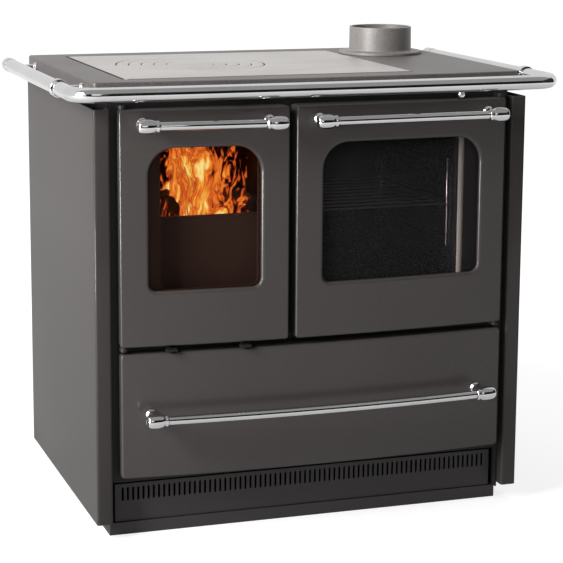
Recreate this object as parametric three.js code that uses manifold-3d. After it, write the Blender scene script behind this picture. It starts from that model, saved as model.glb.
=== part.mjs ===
// Wood cookstove: steel body on a plinth, a firebox door and an oven door with bowed cast fronts,
// a wood drawer below them, a cast cooktop with a hot plate and nested rings, and a tubular handrail.
//
// Frame: millimetres, +X to the right seen from the front, the front faces -Y, +Z up.
// The origin is on the floor, midway between the side panels and between the front posts and the back.

import * as THREE from "three";
import { mergeVertices } from "three/addons/utils/BufferGeometryUtils.js";
import Module from "manifold-3d";

const wasm = await Module();
wasm.setup();

// ---------------------------------------------------------------------------------------------
// Driving dimensions
// ---------------------------------------------------------------------------------------------

const seat = 0.3; // gap between pieces that seat on one another

// Body
const bodyWidth = 852; // over the side panels
const bodyDepth = 600; // post fronts to the back
const panelBottom = 33; // the side panels end above the floor
const panelTopGap = 47; // below the cooking surface
const panelSheet = 2.5;
const postWidth = 30.7; // front post folded out of each side panel
const postReturn = 28; // the post's inner wall, front to back
const foldRadius = 4;
const rearFlange = 26;
const rearPanelGap = 3; // rear panel to the side panels

// Plinth
const plinthInset = 31; // inside the side panels, at each side
const plinthSetback = 32.5; // behind the post fronts
const plinthRearSetback = 18; // in front of the body's back
const baseHeight = 24;
const baseSheet = 3;
const ventInset = 11; // the vent panel's ends, inside the plinth
const ventTopGap = 10; // below the drawer's floor
const ventSheet = 2.5;
const ventSetback = 4; // behind the plinth's front
const ventFootDepth = 20; // the feet turned back at the panel's ends
const ventTabWidth = 20; // the tabs that stand in the base frame
const ventTabInset = 20;
const ventSlotMargin = 10; // least plain sheet at the ends of the row
const ventSlotPitch = 10.1;
const ventSlotWidth = 4.2;
const ventSlotHeight = 26;
const ventSlotDrop = 33.5; // the slots' lower ends, below the panel's top

// Inner casing
const casingSheet = 3;
const casingRearGap = 28; // air gap in front of the rear panel
const rearVentSlots = 10;
const rearVentPitch = 50;
const rearVentDrop = 111; // below the cooking surface
const rearVentLength = 32;
const rearVentHeight = 8;

// Front frame
const frameSetback = 15; // behind the post fronts
const frameThickness = 6;
const frameInset = 2; // inside the casing's walls
const skirtDepth = 25; // below the cooking surface: the cooktop's skirt

// Doors and drawer front: all three share one bowed face
const frontSideGap = 46; // side panel to the doors' outer edges
const frontProud = 7; // in front of the posts, at the outer edges
const frontBow = 18.5; // how far the middle stands in front of the outer edges
const doorTopGap = 48; // below the cooking surface
const doorBottom = 370;
const doorSplitX = -55.25; // middle of the gap between the doors
const doorSplitGap = 14.5;
const doorClearance = 3; // from the front frame to the doors' rims
const shellThickness = 9;
const rimWidth = 10;
const ledgeWidth = 6; // inside the rim, for the inner pane or lining
const doorCorner = 6;
const edgeRounding = 3;
const windowStile = 52.5;
const windowTopMargin = 71;
const windowBottomMargin = 103;
const windowTopRadius = 50;
const windowBottomRadius = 16;
const windowBevelWidth = 6;
const windowBevelDepth = 4.5;
const glassThickness = 4;
const glassOverlap = 9;
const innerPane = 4; // oven door's inner glass and firebox door's lining
const liningOverlap = 3; // the lining's opening, inside the mouth's left edge
const drawerTopGap = 13; // below the doors
const drawerBottom = 121;
const drawerShell = 4;
const drawerRim = 8;

// Hinges
const hingeInset = 8; // pin axis, from the door's outer edge
const hingeDepth = 10; // pin axis, in front of the door's back plane
const hingePinRadius = 4;
const hingeBossRadius = 8;
const hingeBossHeight = 24;
const hingePinReach = 16; // how far a pin stands into its boss
const hingeLugHeight = 8;
const hingeNotchGap = 2; // round the bosses, in the inner pane or lining

// Handles
const barRadius = 8.25;
const endRadius = 13.75;
const endLength = 40;
const handleStandoff = 50; // door face to bar axis
const handleMargin = 21; // door edge to the handle's end
const handleDrop = 25; // door top to bar axis
const drawerHandleMargin = 34;
const drawerHandleDrop = 114; // drawer top to bar axis
const rosetteRadius = 11;
const rosetteThickness = 5;
const stemRadius = 6.5;
const stemFlare = 4; // length over which the stem widens to its rosette
const stemOverlength = 12; // cut back to the bowed door

// Cooktop
const cooktopHeight = 856; // floor to cooking surface
const cooktopInset = 4; // inside the side panels' outer faces
const cooktopFrontSetback = 17; // at the corners, behind the post fronts
const cooktopRearOverhang = 6;
const cooktopThickness = 10;
const cooktopSkirt = 6; // wall thickness of the skirt
const cooktopCorner = 9;
const plateLeftMargin = 69; // cooktop's edge to the hot plate
const plateFrontMargin = 46;
const plateRearMargin = 56;
const plateFlueGap = 0.5; // hot plate to the flue collar's flange
const plateThickness = 10;
const plateCorner = 3;
const plateLedge = 10;
const ringMargin = 53; // the hot plate's left edge to the largest ring
const ringCentreY = 25;
const lidRadius = 48;
const ringWidth = 25;
const ringCount = 4;
const ringLap = 7; // overlap of each ring on the next one's ledge
const ringSides = 24;
const ribWidth = 6;
const ribEndGap = 12; // the rib's ends, inside the casing's walls

// Flue
const flueSideMargin = 117; // flue centre to the cooktop's right edge
const flueRearMargin = 149; // flue centre to the cooktop's rear edge
const flueRadius = 65.5;
const flueWall = 5;
const flueHeight = 57;
const flueFlangeRadius = 87.5;
const flueFlangeThickness = 6;
const outletBoxDepthFront = 170; // flue centre to the outlet box's front wall
const outletBoxSide = 76; // flue centre to the outlet box's left wall
const outletFloorDrop = 50; // below the cooking surface
const outletHoleRadius = 52;

// Handrail
const railOverhang = 42; // side panel to the axis of the side tube
const railDrop = 16; // below the cooking surface
const railFrontOverhang = 47; // post fronts to the axis of the front tube, where the elbows begin
const railBow = 10;
const railRadius = 13.75;
const railWall = 1.5;
const railElbow = 46;
const railJointSetback = 95; // the joint of front and side tube, behind the post fronts
const railRearSetback = 14; // in front of the cooktop's rear edge
const railEndPiece = 45;
const railEndWidening = 0.7;
const railSides = 10;
const collarRadius = 17;
const collarLength = 18;
const studRadius = 5;
const studFootRadius = 8.5;
const studFootThickness = 4;
const studFootTaper = 3;
const sideStudSetback = 88; // in front of the cooktop's rear edge
const frontStudX = 200;

// Firebox
const fireboxSideSpace = 67; // casing wall to the firebox, for air, sheet and brick
const fireboxSplitSpace = 7.5; // firebox to the firebox door's free edge
const fireboxDepth = 430;
const fireboxRise = 92; // the firebox floor, above the doors' lower edges
const fireboxMouthSide = 20; // frame left standing at each side of the mouth
const fireboxMouthSill = 8; // above the firebox floor
const fireboxMouthDrop = 114; // the mouth's top, below the cooking surface
const fireboxWallDrop = 111;
const brickThickness = 25;
const mouthRadius = 12;
const guardHeight = 141; // above the firebox floor
const guardSheet = 4;
const guardSetback = 5; // behind the front frame
const guardLip = 8;
const guardLipInset = 4; // the lip's ends, from the bricks
const grateSideMargin = 27.5;
const grateLength = 280;
const grateThickness = 12;
const grateSlotWidth = 9;
const gratePitch = 21;
const grateEdge = 16;
const grateMiddleBar = 12;
const grateLap = 10; // the grate's rest on the firebox floor
const ashPanWidth = 178;
const ashPanDepth = 330;
const ashPanHeight = 64;
const ashPanSheet = 2;
const ashPanGap = 2; // round the pan, in its doorway
const ashSkidWidth = 10;
const ashSkidInset = 25;
const ashDoorwayRise = 10; // above the middle shelf
const ashDoorwayHeight = 70;

// Oven
const ovenSplitSpace = 30; // the oven door's free edge to the oven
const ovenFlueSpace = 104; // oven to the casing's right wall, for the flue gas
const ovenRise = 88; // the oven floor, above the doors' lower edges
const ovenTopDrop = 113; // below the cooking surface
const ovenDepth = 412;
const linerSheet = 2;
const gasketInset = 9; // mouth edge to the gasket's centre line
const gasketWidth = 12;
const gasketProud = 8;
const guideWire = 2; // wire radius
const guideCount = 3;
const guideBottomSpace = 72; // oven floor to the middle of the lowest pair of wires
const guideTopSpace = 70;
const guidePairGap = 14;
const guideFrontSpace = 26.7; // behind the front frame
const guideRearSpace = 43.3; // in front of the oven's rear wall
const guideOverhang = 6; // the wires reach past the posts
const rackWire = 2.2;
const rackBars = 9;
const rackInset = 1.5; // the rack's side wires, from the guide rails' centre lines
const rackOverhang = 4;

// Drawer box
const drawerSideGap = 40; // the box's sides, inside the casing's outer faces
const drawerBoxRearSpace = 85; // what the box is shorter than the body
const drawerBoxTopGap = 29; // below the drawer front's top
const drawerBoxSheet = 2.5;
const doorwaySide = 29; // the doorway's sides, inside the casing's outer faces
const doorwayTopGap = 7; // below the drawer front's top
const doorwaySill = 3; // below the drawer front's lower edge
const doorwayCorner = 8;
const drawerBoxRise = 4; // above the doorway's lower edge
const runnerHeight = 32;
const runnerSheet = 3;
const runnerGap = 2; // runner to the box's side
const runnerSetback = 5; // behind the front frame

// Damper and air slides
const damperOffset = 20; // the rod, to the left of the flue's centre
const damperRise = 11.5; // the rod, above the outlet box's floor
const damperKnobReach = 25; // the knob's centre, in front of the front frame
const damperKnobRadius = 8;
const damperRodRadius = 3.5;
const damperPlateSize = 120;
const damperTabWidth = 18;
const damperTabTop = 6; // above the rod's axis
const primaryAirOffset = -89.5; // from the firebox's centre
const secondaryAirOffset = 50.5;
const airSlideTravel = 30;
const airSlideDrop = 6.5; // below the doors' lower edges
const airSlotGap = 0.6; // round the rod, in its slot
const airRodRadius = 2.5;
const airPlateHeight = 15;
const airPlateSheet = 2;
const airPlateEnd = 22; // the plate reaches past its slot
const airLeverWidth = 19;
const airLeverLength = 16;
const airLeverThickness = 4;
const airLeverProud = 10; // in front of the bowed fronts

// ---------------------------------------------------------------------------------------------
// Derived places
// ---------------------------------------------------------------------------------------------

const halfWidth = bodyWidth / 2;
const frontY = -bodyDepth / 2;
const rearY = bodyDepth / 2;
const panelTop = cooktopHeight - panelTopGap;
const plinthWidth = bodyWidth - 2 * plinthInset;
const ventWidth = plinthWidth - 2 * ventInset;
const ventSlots = Math.floor((ventWidth - 2 * ventSlotMargin) / ventSlotPitch);
const frameFaceY = frontY + frameSetback;
const frameBackY = frameFaceY + frameThickness;
const frameTop = cooktopHeight - skirtDepth - seat;
const doorBackY = frameFaceY - doorClearance;
const casingHalf = plinthWidth / 2;
const casingInner = casingHalf - casingSheet;
const casingFrontY = frameBackY + seat;
const casingRearY = rearY - casingRearGap;
const sealFaceY = frameFaceY - gasketProud; // where the closed doors meet the gaskets

const frontHalfSpan = halfWidth - frontSideGap;
const doorTop = cooktopHeight - doorTopGap;
const doorGapLeft = doorSplitX - doorSplitGap / 2; // right edge of the firebox door
const doorGapRight = doorSplitX + doorSplitGap / 2; // left edge of the oven door
const middleShelfZ = doorBottom + 2;
const drawerTop = doorBottom - drawerTopGap;
const drawerFloorZ = drawerBottom - drawerTopGap;
const ventTop = drawerFloorZ - ventTopGap;
const drawerHandleZ = drawerTop - drawerHandleDrop;
const drawerBoxHalf = casingHalf - drawerSideGap;
const drawerBoxDepth = bodyDepth - drawerBoxRearSpace;
const drawerDoorwayHalf = casingHalf - doorwaySide;
const drawerDoorwayTop = drawerTop - doorwayTopGap;
const drawerDoorwayBottom = drawerBottom - doorwaySill;

const cooktopWidth = bodyWidth - 2 * cooktopInset;
const cooktopRear = rearY + cooktopRearOverhang;
const topUnderside = cooktopHeight - cooktopThickness;
const flueX = cooktopWidth / 2 - flueSideMargin;
const flueY = cooktopRear - flueRearMargin;
const plateLeft = -cooktopWidth / 2 + plateLeftMargin;
const plateRight = flueX - flueFlangeRadius - plateFlueGap;
const plateFront = frontY + cooktopFrontSetback + plateFrontMargin;
const plateRear = cooktopRear - plateRearMargin;
const ringOuterRadius = lidRadius + ringWidth * ringCount;
const ringCentreX = plateLeft + ringMargin + ringOuterRadius;
const outletFloorZ = cooktopHeight - outletFloorDrop;
const damperX = flueX - damperOffset;
const damperZ = outletFloorZ + damperRise;

const railX = halfWidth + railOverhang; // axis of the side tubes
const railZ = cooktopHeight - railDrop;
const railFrontY = frontY - railFrontOverhang;
const railJointY = frontY + railJointSetback;
const railRearY = cooktopRear - railRearSetback;
const sideStudY = cooktopRear - sideStudSetback;

const fireboxLeft = -casingInner + fireboxSideSpace;
const fireboxRight = doorGapLeft - fireboxSplitSpace;
const fireboxWidth = fireboxRight - fireboxLeft;
const fireboxCentreX = (fireboxLeft + fireboxRight) / 2;
const fireboxFloorZ = doorBottom + fireboxRise;
const fireboxWallTop = cooktopHeight - fireboxWallDrop;
const guardTop = fireboxFloorZ + guardHeight;
const guardBackY = casingFrontY + guardSetback + guardSheet;
const brickFrontY = guardBackY + seat;
const brickRearY = brickFrontY + fireboxDepth;
const grateWidth = fireboxWidth - 2 * grateSideMargin;
const grateSlots = Math.floor((grateWidth - 2 * grateEdge) / gratePitch);
const ashDoorwayBottom = middleShelfZ + ashDoorwayRise;
const ashDoorwayTop = ashDoorwayBottom + ashDoorwayHeight;
const airSlideX = [fireboxCentreX + primaryAirOffset, fireboxCentreX + secondaryAirOffset];
const airSlideZ = doorBottom - airSlideDrop;

const ovenLeft = doorGapRight + ovenSplitSpace;
const ovenRight = casingInner - ovenFlueSpace;
const ovenBottom = doorBottom + ovenRise;
const ovenTop = cooktopHeight - ovenTopDrop;
const guideFrontY = casingFrontY + guideFrontSpace;
const guideRearY = casingFrontY + ovenDepth - guideRearSpace;
const guideLevels = Array.from({ length: guideCount }, (_, i) => {
  const [low, high] = [ovenBottom + guideBottomSpace, ovenTop - guideTopSpace];
  return low + ((high - low) * i) / (guideCount - 1);
});

const frontFace = bowedFace(frontHalfSpan, frontY - frontProud, frontBow);
const topFace = bowedFace(cooktopWidth / 2, frontY + cooktopFrontSetback, frontBow);
const railFace = bowedFace(railX - railElbow, railFrontY, railBow);

// ---------------------------------------------------------------------------------------------
// Geometry helpers
// ---------------------------------------------------------------------------------------------

// A front bowed in plan: an arc through (-halfSpan, edgeY) and (halfSpan, edgeY), `bow` further out midway.
function bowedFace(halfSpan, edgeY, bow) {
  const radius = (halfSpan ** 2 + bow ** 2) / (2 * bow);
  const centreY = edgeY - bow + radius;
  const y = (x) => centreY - Math.sqrt(radius ** 2 - x ** 2);
  const slope = (x) => x / Math.sqrt(radius ** 2 - x ** 2);
  return { y, slope };
}

// Merges shared corners, drops faces without area and turns the faces outwards.
function closed(geometry) {
  const bare = new THREE.BufferGeometry();
  bare.setAttribute("position", geometry.getAttribute("position").clone());
  if (geometry.index) bare.setIndex(geometry.index.clone());
  const merged = mergeVertices(bare, 1e-3);
  const index = merged.index.array;
  const corners = [];
  for (let i = 0; i < index.length; i += 3) {
    const [a, b, c] = [index[i], index[i + 1], index[i + 2]];
    if (a !== b && b !== c && c !== a) corners.push(a, b, c);
  }
  merged.setIndex(corners);
  if (signedVolume(merged) < 0) merged.setIndex(corners.reverse());
  return merged;
}

function signedVolume(geometry) {
  const position = geometry.getAttribute("position");
  const index = geometry.index.array;
  const [a, b, c] = [new THREE.Vector3(), new THREE.Vector3(), new THREE.Vector3()];
  let sum = 0;
  for (let i = 0; i < index.length; i += 3) {
    a.fromBufferAttribute(position, index[i]);
    b.fromBufferAttribute(position, index[i + 1]);
    c.fromBufferAttribute(position, index[i + 2]);
    sum += a.dot(b.cross(c)) / 6;
  }
  return sum;
}

function toSolid(geometry) {
  const shape = closed(geometry);
  return new wasm.Manifold(new wasm.Mesh({
    numProp: 3,
    vertProperties: new Float32Array(shape.getAttribute("position").array),
    triVerts: new Uint32Array(shape.index.array),
  }));
}

function toGeometry(body) {
  const mesh = body.getMesh();
  const geometry = new THREE.BufferGeometry();
  geometry.setAttribute("position", new THREE.BufferAttribute(new Float32Array(mesh.vertProperties), 3));
  geometry.setIndex(new THREE.BufferAttribute(new Uint32Array(mesh.triVerts), 1));
  return geometry;
}

const join = (first, ...others) => others.reduce((sum, body) => sum.add(body), first);
const cut = (first, ...others) => others.reduce((rest, body) => rest.subtract(body), first);

function boxGeometry([x0, x1], [y0, y1], [z0, z1]) {
  const box = new THREE.BoxGeometry(x1 - x0, y1 - y0, z1 - z0);
  return box.translate((x0 + x1) / 2, (y0 + y1) / 2, (z0 + z1) / 2);
}

const block = (xs, ys, zs) => toSolid(boxGeometry(xs, ys, zs));

// A flat outline in X and Y, drawn up from z0 to z1.
function upright(outline, [z0, z1]) {
  const shape = outline instanceof THREE.Shape ? outline : shapeOf(outline);
  return new THREE.ExtrudeGeometry(shape, { depth: z1 - z0, bevelEnabled: false }).translate(0, 0, z0);
}

// A flat outline in X and Z, drawn back from y0 to y1.
function frontal(outline, [y0, y1]) {
  const shape = outline instanceof THREE.Shape ? outline : shapeOf(outline);
  const prism = new THREE.ExtrudeGeometry(shape, { depth: y1 - y0, bevelEnabled: false });
  return prism.rotateX(Math.PI / 2).translate(0, y1, 0);
}

// A shape runs anticlockwise, so that its holes are turned the right way round.
const shapeOf = (points) => {
  const outline = points.map(([a, b]) => new THREE.Vector2(a, b));
  return new THREE.Shape(THREE.ShapeUtils.isClockWise(outline) ? outline.reverse() : outline);
};
// A six-sided slot with pointed ends, upright or level.
function slotPath([x0, x1], [z0, z1]) {
  const nose = Math.min(x1 - x0, z1 - z0) / 2;
  const [x, z] = [(x0 + x1) / 2, (z0 + z1) / 2];
  const isUpright = z1 - z0 > x1 - x0;
  return pathOf(isUpright
    ? [[x, z0], [x0, z0 + nose], [x0, z1 - nose], [x, z1], [x1, z1 - nose], [x1, z0 + nose]]
    : [[x0, z], [x0 + nose, z1], [x1 - nose, z1], [x1, z], [x1 - nose, z0], [x0 + nose, z0]]);
}

const ascending = (a, b) => a - b;

const pathOf = (points) => new THREE.Path(points.map(([a, b]) => new THREE.Vector2(a, b)));

// A profile of [radius, height] pairs turned about Z; it starts and ends on the axis or on itself.
function turned(profile, sides) {
  const points = profile.map(([radius, height]) => new THREE.Vector2(radius, height));
  return new THREE.LatheGeometry(points, sides).rotateX(Math.PI / 2);
}

const disc = (radius, [z0, z1], sides) => turned([[0, z0], [radius, z0], [radius, z1], [0, z1]], sides);

// Points of a rounded rectangle: the upper half from left to right, then the lower half back again,
// with the same number of points for any size, so that loops of one family match point by point.
function roundedLoop({ left, right, bottom, top, topRadius, bottomRadius }, runSteps, cornerSteps) {
  const points = [];
  const corner = (x, z, radius, from) => {
    for (let i = 0; i <= cornerSteps; i++) {
      const angle = from - (i / cornerSteps) * (Math.PI / 2);
      points.push([x + radius * Math.cos(angle), z + radius * Math.sin(angle)]);
    }
  };
  const run = (from, to, z) => {
    for (let i = 1; i < runSteps; i++) points.push([from + ((to - from) * i) / runSteps, z]);
  };
  corner(left + topRadius, top - topRadius, topRadius, Math.PI);
  run(left + topRadius, right - topRadius, top);
  corner(right - topRadius, top - topRadius, topRadius, Math.PI / 2);
  corner(right - bottomRadius, bottom + bottomRadius, bottomRadius, 0);
  run(right - bottomRadius, left + bottomRadius, bottom);
  corner(left + bottomRadius, bottom + bottomRadius, bottomRadius, -Math.PI / 2);
  return points;
}

// The same rounded rectangle, grown by `by` on every side (shrunk when negative).
function grown(rect, by) {
  const least = 0.4;
  return {
    left: rect.left - by,
    right: rect.right + by,
    bottom: rect.bottom - by,
    top: rect.top + by,
    topRadius: Math.max(rect.topRadius + by, least),
    bottomRadius: Math.max(rect.bottomRadius + by, least),
  };
}

// Joins rings of matching points into one skin. An open row of rings gets a cap at each end, made of
// strips between its upper and lower half; a closed row returns from the last ring to the first.
function loft(rings, capped = false) {
  const count = rings[0].length;
  const positions = rings.flat(2);
  const index = [];
  const quad = (a, b, c, d) => index.push(a, b, c, a, c, d);
  const spans = capped ? rings.length - 1 : rings.length;
  for (let i = 0; i < spans; i++) {
    const here = i * count;
    const next = ((i + 1) % rings.length) * count;
    for (let j = 0; j < count; j++) {
      const k = (j + 1) % count;
      quad(here + j, here + k, next + k, next + j);
    }
  }
  if (capped) {
    const last = (rings.length - 1) * count;
    for (let j = 0; j < count / 2 - 1; j++) {
      const mirrored = count - 1 - j;
      quad(mirrored, mirrored - 1, j + 1, j);
      quad(last + j, last + j + 1, last + mirrored - 1, last + mirrored);
    }
  }
  const geometry = new THREE.BufferGeometry();
  geometry.setAttribute("position", new THREE.Float32BufferAttribute(positions, 3));
  geometry.setIndex(index);
  return closed(geometry);
}

// A round section of `radius` across a level path, at a station { x, y, z, heading }.
function sectionAt({ x, y, z, heading }, radius, sides) {
  const points = [];
  for (let i = 0; i < sides; i++) {
    const angle = ((i + 0.5) / sides) * 2 * Math.PI;
    const across = radius * Math.cos(angle);
    points.push([x - across * Math.sin(heading), y + across * Math.cos(heading), z + radius * Math.sin(angle)]);
  }
  return points;
}

const rod = (stations, radius, sides) => loft(stations.map((s) => sectionAt(s, radius, sides)), true);

function tube(stations, radius, bore, sides) {
  const outside = stations.map((s) => sectionAt(s, radius, sides));
  const inside = stations.map((s) => sectionAt(s, bore, sides)).reverse();
  return loft([...outside, ...inside]);
}

const straight = (from, to, z) => {
  const heading = Math.atan2(to[1] - from[1], to[0] - from[0]);
  return [from, to].map(([x, y]) => ({ x, y, z, heading }));
};

// A thin wire between two points, six-sided.
function wire(from, to, radius) {
  const [a, b] = [new THREE.Vector3(...from), new THREE.Vector3(...to)];
  const along = b.clone().sub(a);
  const cylinder = new THREE.CylinderGeometry(radius, radius, along.length(), 6);
  const turn = new THREE.Quaternion().setFromUnitVectors(new THREE.Vector3(0, 1, 0), along.clone().normalize());
  const middle = a.add(b).multiplyScalar(0.5);
  return toSolid(cylinder.applyQuaternion(turn).translate(middle.x, middle.y, middle.z));
}

// Rounds the corners of a chain of points; `radii` holds one radius for each point.
function roundedChain(points, radii, steps) {
  return points.flatMap((point, i) => {
    if (i === 0 || i === points.length - 1 || radii[i] === 0) return [point];
    const here = new THREE.Vector2(...point);
    const back = new THREE.Vector2(...points[i - 1]).sub(here).normalize();
    const on = new THREE.Vector2(...points[i + 1]).sub(here).normalize();
    const start = here.clone().addScaledVector(back, radii[i]);
    const end = here.clone().addScaledVector(on, radii[i]);
    const bend = new THREE.QuadraticBezierCurve(start, here, end);
    return bend.getPoints(steps).map((p) => [p.x, p.y]);
  });
}

// The plan of a plate whose front edge follows a bowed face, shrunk by `inset` on every side.
function bowedPlan(face, half, rear, inset, radius, steps) {
  const points = [];
  const side = half - inset;
  const reach = side - radius;
  for (let i = 0; i <= steps; i++) {
    const x = -reach + (2 * reach * i) / steps;
    points.push([x, face.y(x) + inset]);
  }
  const cornerY = face.y(reach) + inset + radius;
  const cornerSteps = 3;
  for (let i = 1; i <= cornerSteps; i++) {
    const angle = -Math.PI / 2 + (i / cornerSteps) * (Math.PI / 2);
    points.push([reach + radius * Math.cos(angle), cornerY + radius * Math.sin(angle)]);
  }
  points.push([side, rear - inset]);
  points.push([-side, rear - inset]);
  for (let i = 0; i < cornerSteps; i++) {
    const angle = Math.PI + (i / cornerSteps) * (Math.PI / 2);
    points.push([-reach + radius * Math.cos(angle), cornerY + radius * Math.sin(angle)]);
  }
  return points;
}

// ---------------------------------------------------------------------------------------------
// Materials
// ---------------------------------------------------------------------------------------------

const finish = (color, roughness, metalness) => new THREE.MeshStandardMaterial({ color, roughness, metalness });

const materials = {
  bodyPaint: finish(0x7a7572, 0.6, 0.3),
  doorPaint: finish(0x4d4947, 0.55, 0.3),
  plinthPaint: finish(0x35322f, 0.65, 0.2),
  darkSteel: finish(0x1f1d1c, 0.7, 0.4),
  castTop: finish(0x8f8b88, 0.5, 0.6),
  hotPlate: finish(0xc2bfbc, 0.4, 0.8),
  castIron: finish(0x6b6967, 0.7, 0.5),
  chrome: finish(0xe6e6e6, 0.12, 1.0),
  glass: new THREE.MeshStandardMaterial({ color: 0x1c1a1b, roughness: 0.05, transparent: true, opacity: 0.35 }),
  fireBrick: finish(0xb9a888, 0.95, 0.0),
  rope: finish(0x9a9a96, 0.9, 0.0),
  enamel: finish(0x232323, 0.25, 0.1),
  zinc: finish(0xb0b3b5, 0.4, 0.8),
};

const stove = new THREE.Group();
let assembly = stove;

// Runs the builders with a group of their own.
function inGroup(name, ...builders) {
  assembly = new THREE.Group();
  assembly.name = name;
  stove.add(assembly);
  for (const build of builders) build();
}

function add(name, shape, material, place = [0, 0, 0]) {
  const geometry = (shape.isBufferGeometry ? closed(shape) : toGeometry(shape)).toNonIndexed();
  geometry.computeVertexNormals();
  const mesh = new THREE.Mesh(geometry, materials[material]);
  mesh.name = name;
  mesh.position.set(...place);
  assembly.add(mesh);
}

const mirrored = (geometry) => closed(geometry.clone().scale(-1, 1, 1));

// ---------------------------------------------------------------------------------------------
// Plinth, side panels and rear panel
// ---------------------------------------------------------------------------------------------

function buildPlinth() {
  const half = plinthWidth / 2;
  const front = frontY + plinthSetback;
  const rear = rearY - plinthRearSetback;
  const tray = block([-half, half], [front, rear], [0, baseHeight]);
  const inside = block(
    [-half + baseSheet, half - baseSheet], [front + baseSheet, rear - baseSheet], [baseSheet, baseHeight + 1],
  );
  add("base_frame", cut(tray, inside), "plinthPaint");

  const panelFront = front + ventSetback;
  const outline = shapeOf([
    [-ventWidth / 2, baseHeight + seat],
    [ventWidth / 2, baseHeight + seat],
    [ventWidth / 2, ventTop],
    [-ventWidth / 2, ventTop],
  ]);
  const slotBottom = ventTop - ventSlotDrop;
  for (let i = 0; i < ventSlots; i++) {
    const x = (i - (ventSlots - 1) / 2) * ventSlotPitch;
    outline.holes.push(slotPath(
      [x - ventSlotWidth / 2, x + ventSlotWidth / 2], [slotBottom, slotBottom + ventSlotHeight],
    ));
  }
  // two feet turned back on the panel's ends stand on the base frame's floor
  const panel = toSolid(frontal(outline, [panelFront, panelFront + ventSheet]));
  const foot = (side) => block(
    [side * ventWidth / 2, side * (ventWidth / 2 - ventSheet)].sort(ascending),
    [panelFront + ventSheet / 2, panelFront + ventFootDepth], [baseHeight + seat, ventTop],
  );
  const tabEnd = ventWidth / 2 - ventTabInset;
  const tab = (side) => block(
    [side * (tabEnd - ventTabWidth), side * tabEnd].sort(ascending),
    [panelFront, panelFront + ventSheet], [baseSheet + seat, baseHeight + 1],
  );
  add("vent_panel", join(panel, foot(-1), foot(1), tab(-1), tab(1)), "plinthPaint");
}

function buildPanels() {
  const t = panelSheet;
  const outer = [
    [-halfWidth + rearFlange, rearY],
    [-halfWidth, rearY],
    [-halfWidth, frontY],
    [-halfWidth + postWidth, frontY],
    [-halfWidth + postWidth, frontY + postReturn],
  ];
  const inner = [
    [-halfWidth + postWidth - t, frontY + postReturn],
    [-halfWidth + postWidth - t, frontY + t],
    [-halfWidth + t, frontY + t],
    [-halfWidth + t, rearY - t],
    [-halfWidth + rearFlange, rearY - t],
  ];
  const innerFold = Math.max(foldRadius - t, 0.5);
  const plan = [
    ...roundedChain(outer, [0, foldRadius, foldRadius, foldRadius, 0], 4),
    ...roundedChain(inner, [0, innerFold, innerFold, innerFold, 0], 4),
  ];
  const left = upright(plan, [panelBottom, panelTop]);
  add("left_side_panel", left, "bodyPaint");
  add("right_side_panel", mirrored(left), "bodyPaint");

  const rearHalf = halfWidth - t - rearPanelGap;
  const rearFace = rearY - t - seat;
  const outline = shapeOf([
    [-rearHalf, panelBottom],
    [rearHalf, panelBottom],
    [rearHalf, panelTop],
    [-rearHalf, panelTop],
  ]);
  const slotZ = cooktopHeight - rearVentDrop;
  for (let i = 0; i < rearVentSlots; i++) {
    const x = (i - (rearVentSlots - 1) / 2) * rearVentPitch;
    outline.holes.push(slotPath(
      [x - rearVentLength / 2, x + rearVentLength / 2], [slotZ, slotZ + rearVentHeight],
    ));
  }
  add("rear_panel", frontal(outline, [rearFace - t, rearFace]), "bodyPaint");
}

// ---------------------------------------------------------------------------------------------
// Inner casing and front frame
// ---------------------------------------------------------------------------------------------

function buildCasing() {
  const t = casingSheet;
  const low = baseHeight + seat;
  const high = topUnderside - seat;
  const wall = (side) => block(
    [side * casingHalf, side * (casingHalf - t)].sort(ascending), [casingFrontY, casingRearY], [low, high],
  );
  const back = block([-casingHalf, casingHalf], [casingRearY - t, casingRearY], [low, high]);
  const shelf = (z) => block(
    [-casingHalf + t / 2, casingHalf - t / 2], [casingFrontY, casingRearY - t / 2], [z, z + t],
  );
  add("inner_casing", join(wall(-1), wall(1), back, shelf(drawerFloorZ), shelf(middleShelfZ)), "darkSteel");
}

const loopFor = (rect) => roundedLoop(rect, 1, 3);
const mouth = (left, right, bottom, top) =>
  ({ left, right, bottom, top, topRadius: mouthRadius, bottomRadius: mouthRadius });

const fireboxMouth = mouth(
  fireboxLeft + fireboxMouthSide, fireboxRight - fireboxMouthSide,
  fireboxFloorZ + fireboxMouthSill, cooktopHeight - fireboxMouthDrop,
);
const ovenMouth = mouth(ovenLeft, ovenRight, ovenBottom, ovenTop);

const firebox = { left: -frontHalfSpan, right: doorGapLeft, hingeSide: -1 };
const oven = { left: doorGapRight, right: frontHalfSpan, hingeSide: 1 };
const hingeY = doorBackY - hingeDepth;
const hingeX = (door) => (door.hingeSide < 0 ? door.left + hingeInset : door.right - hingeInset);

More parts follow.
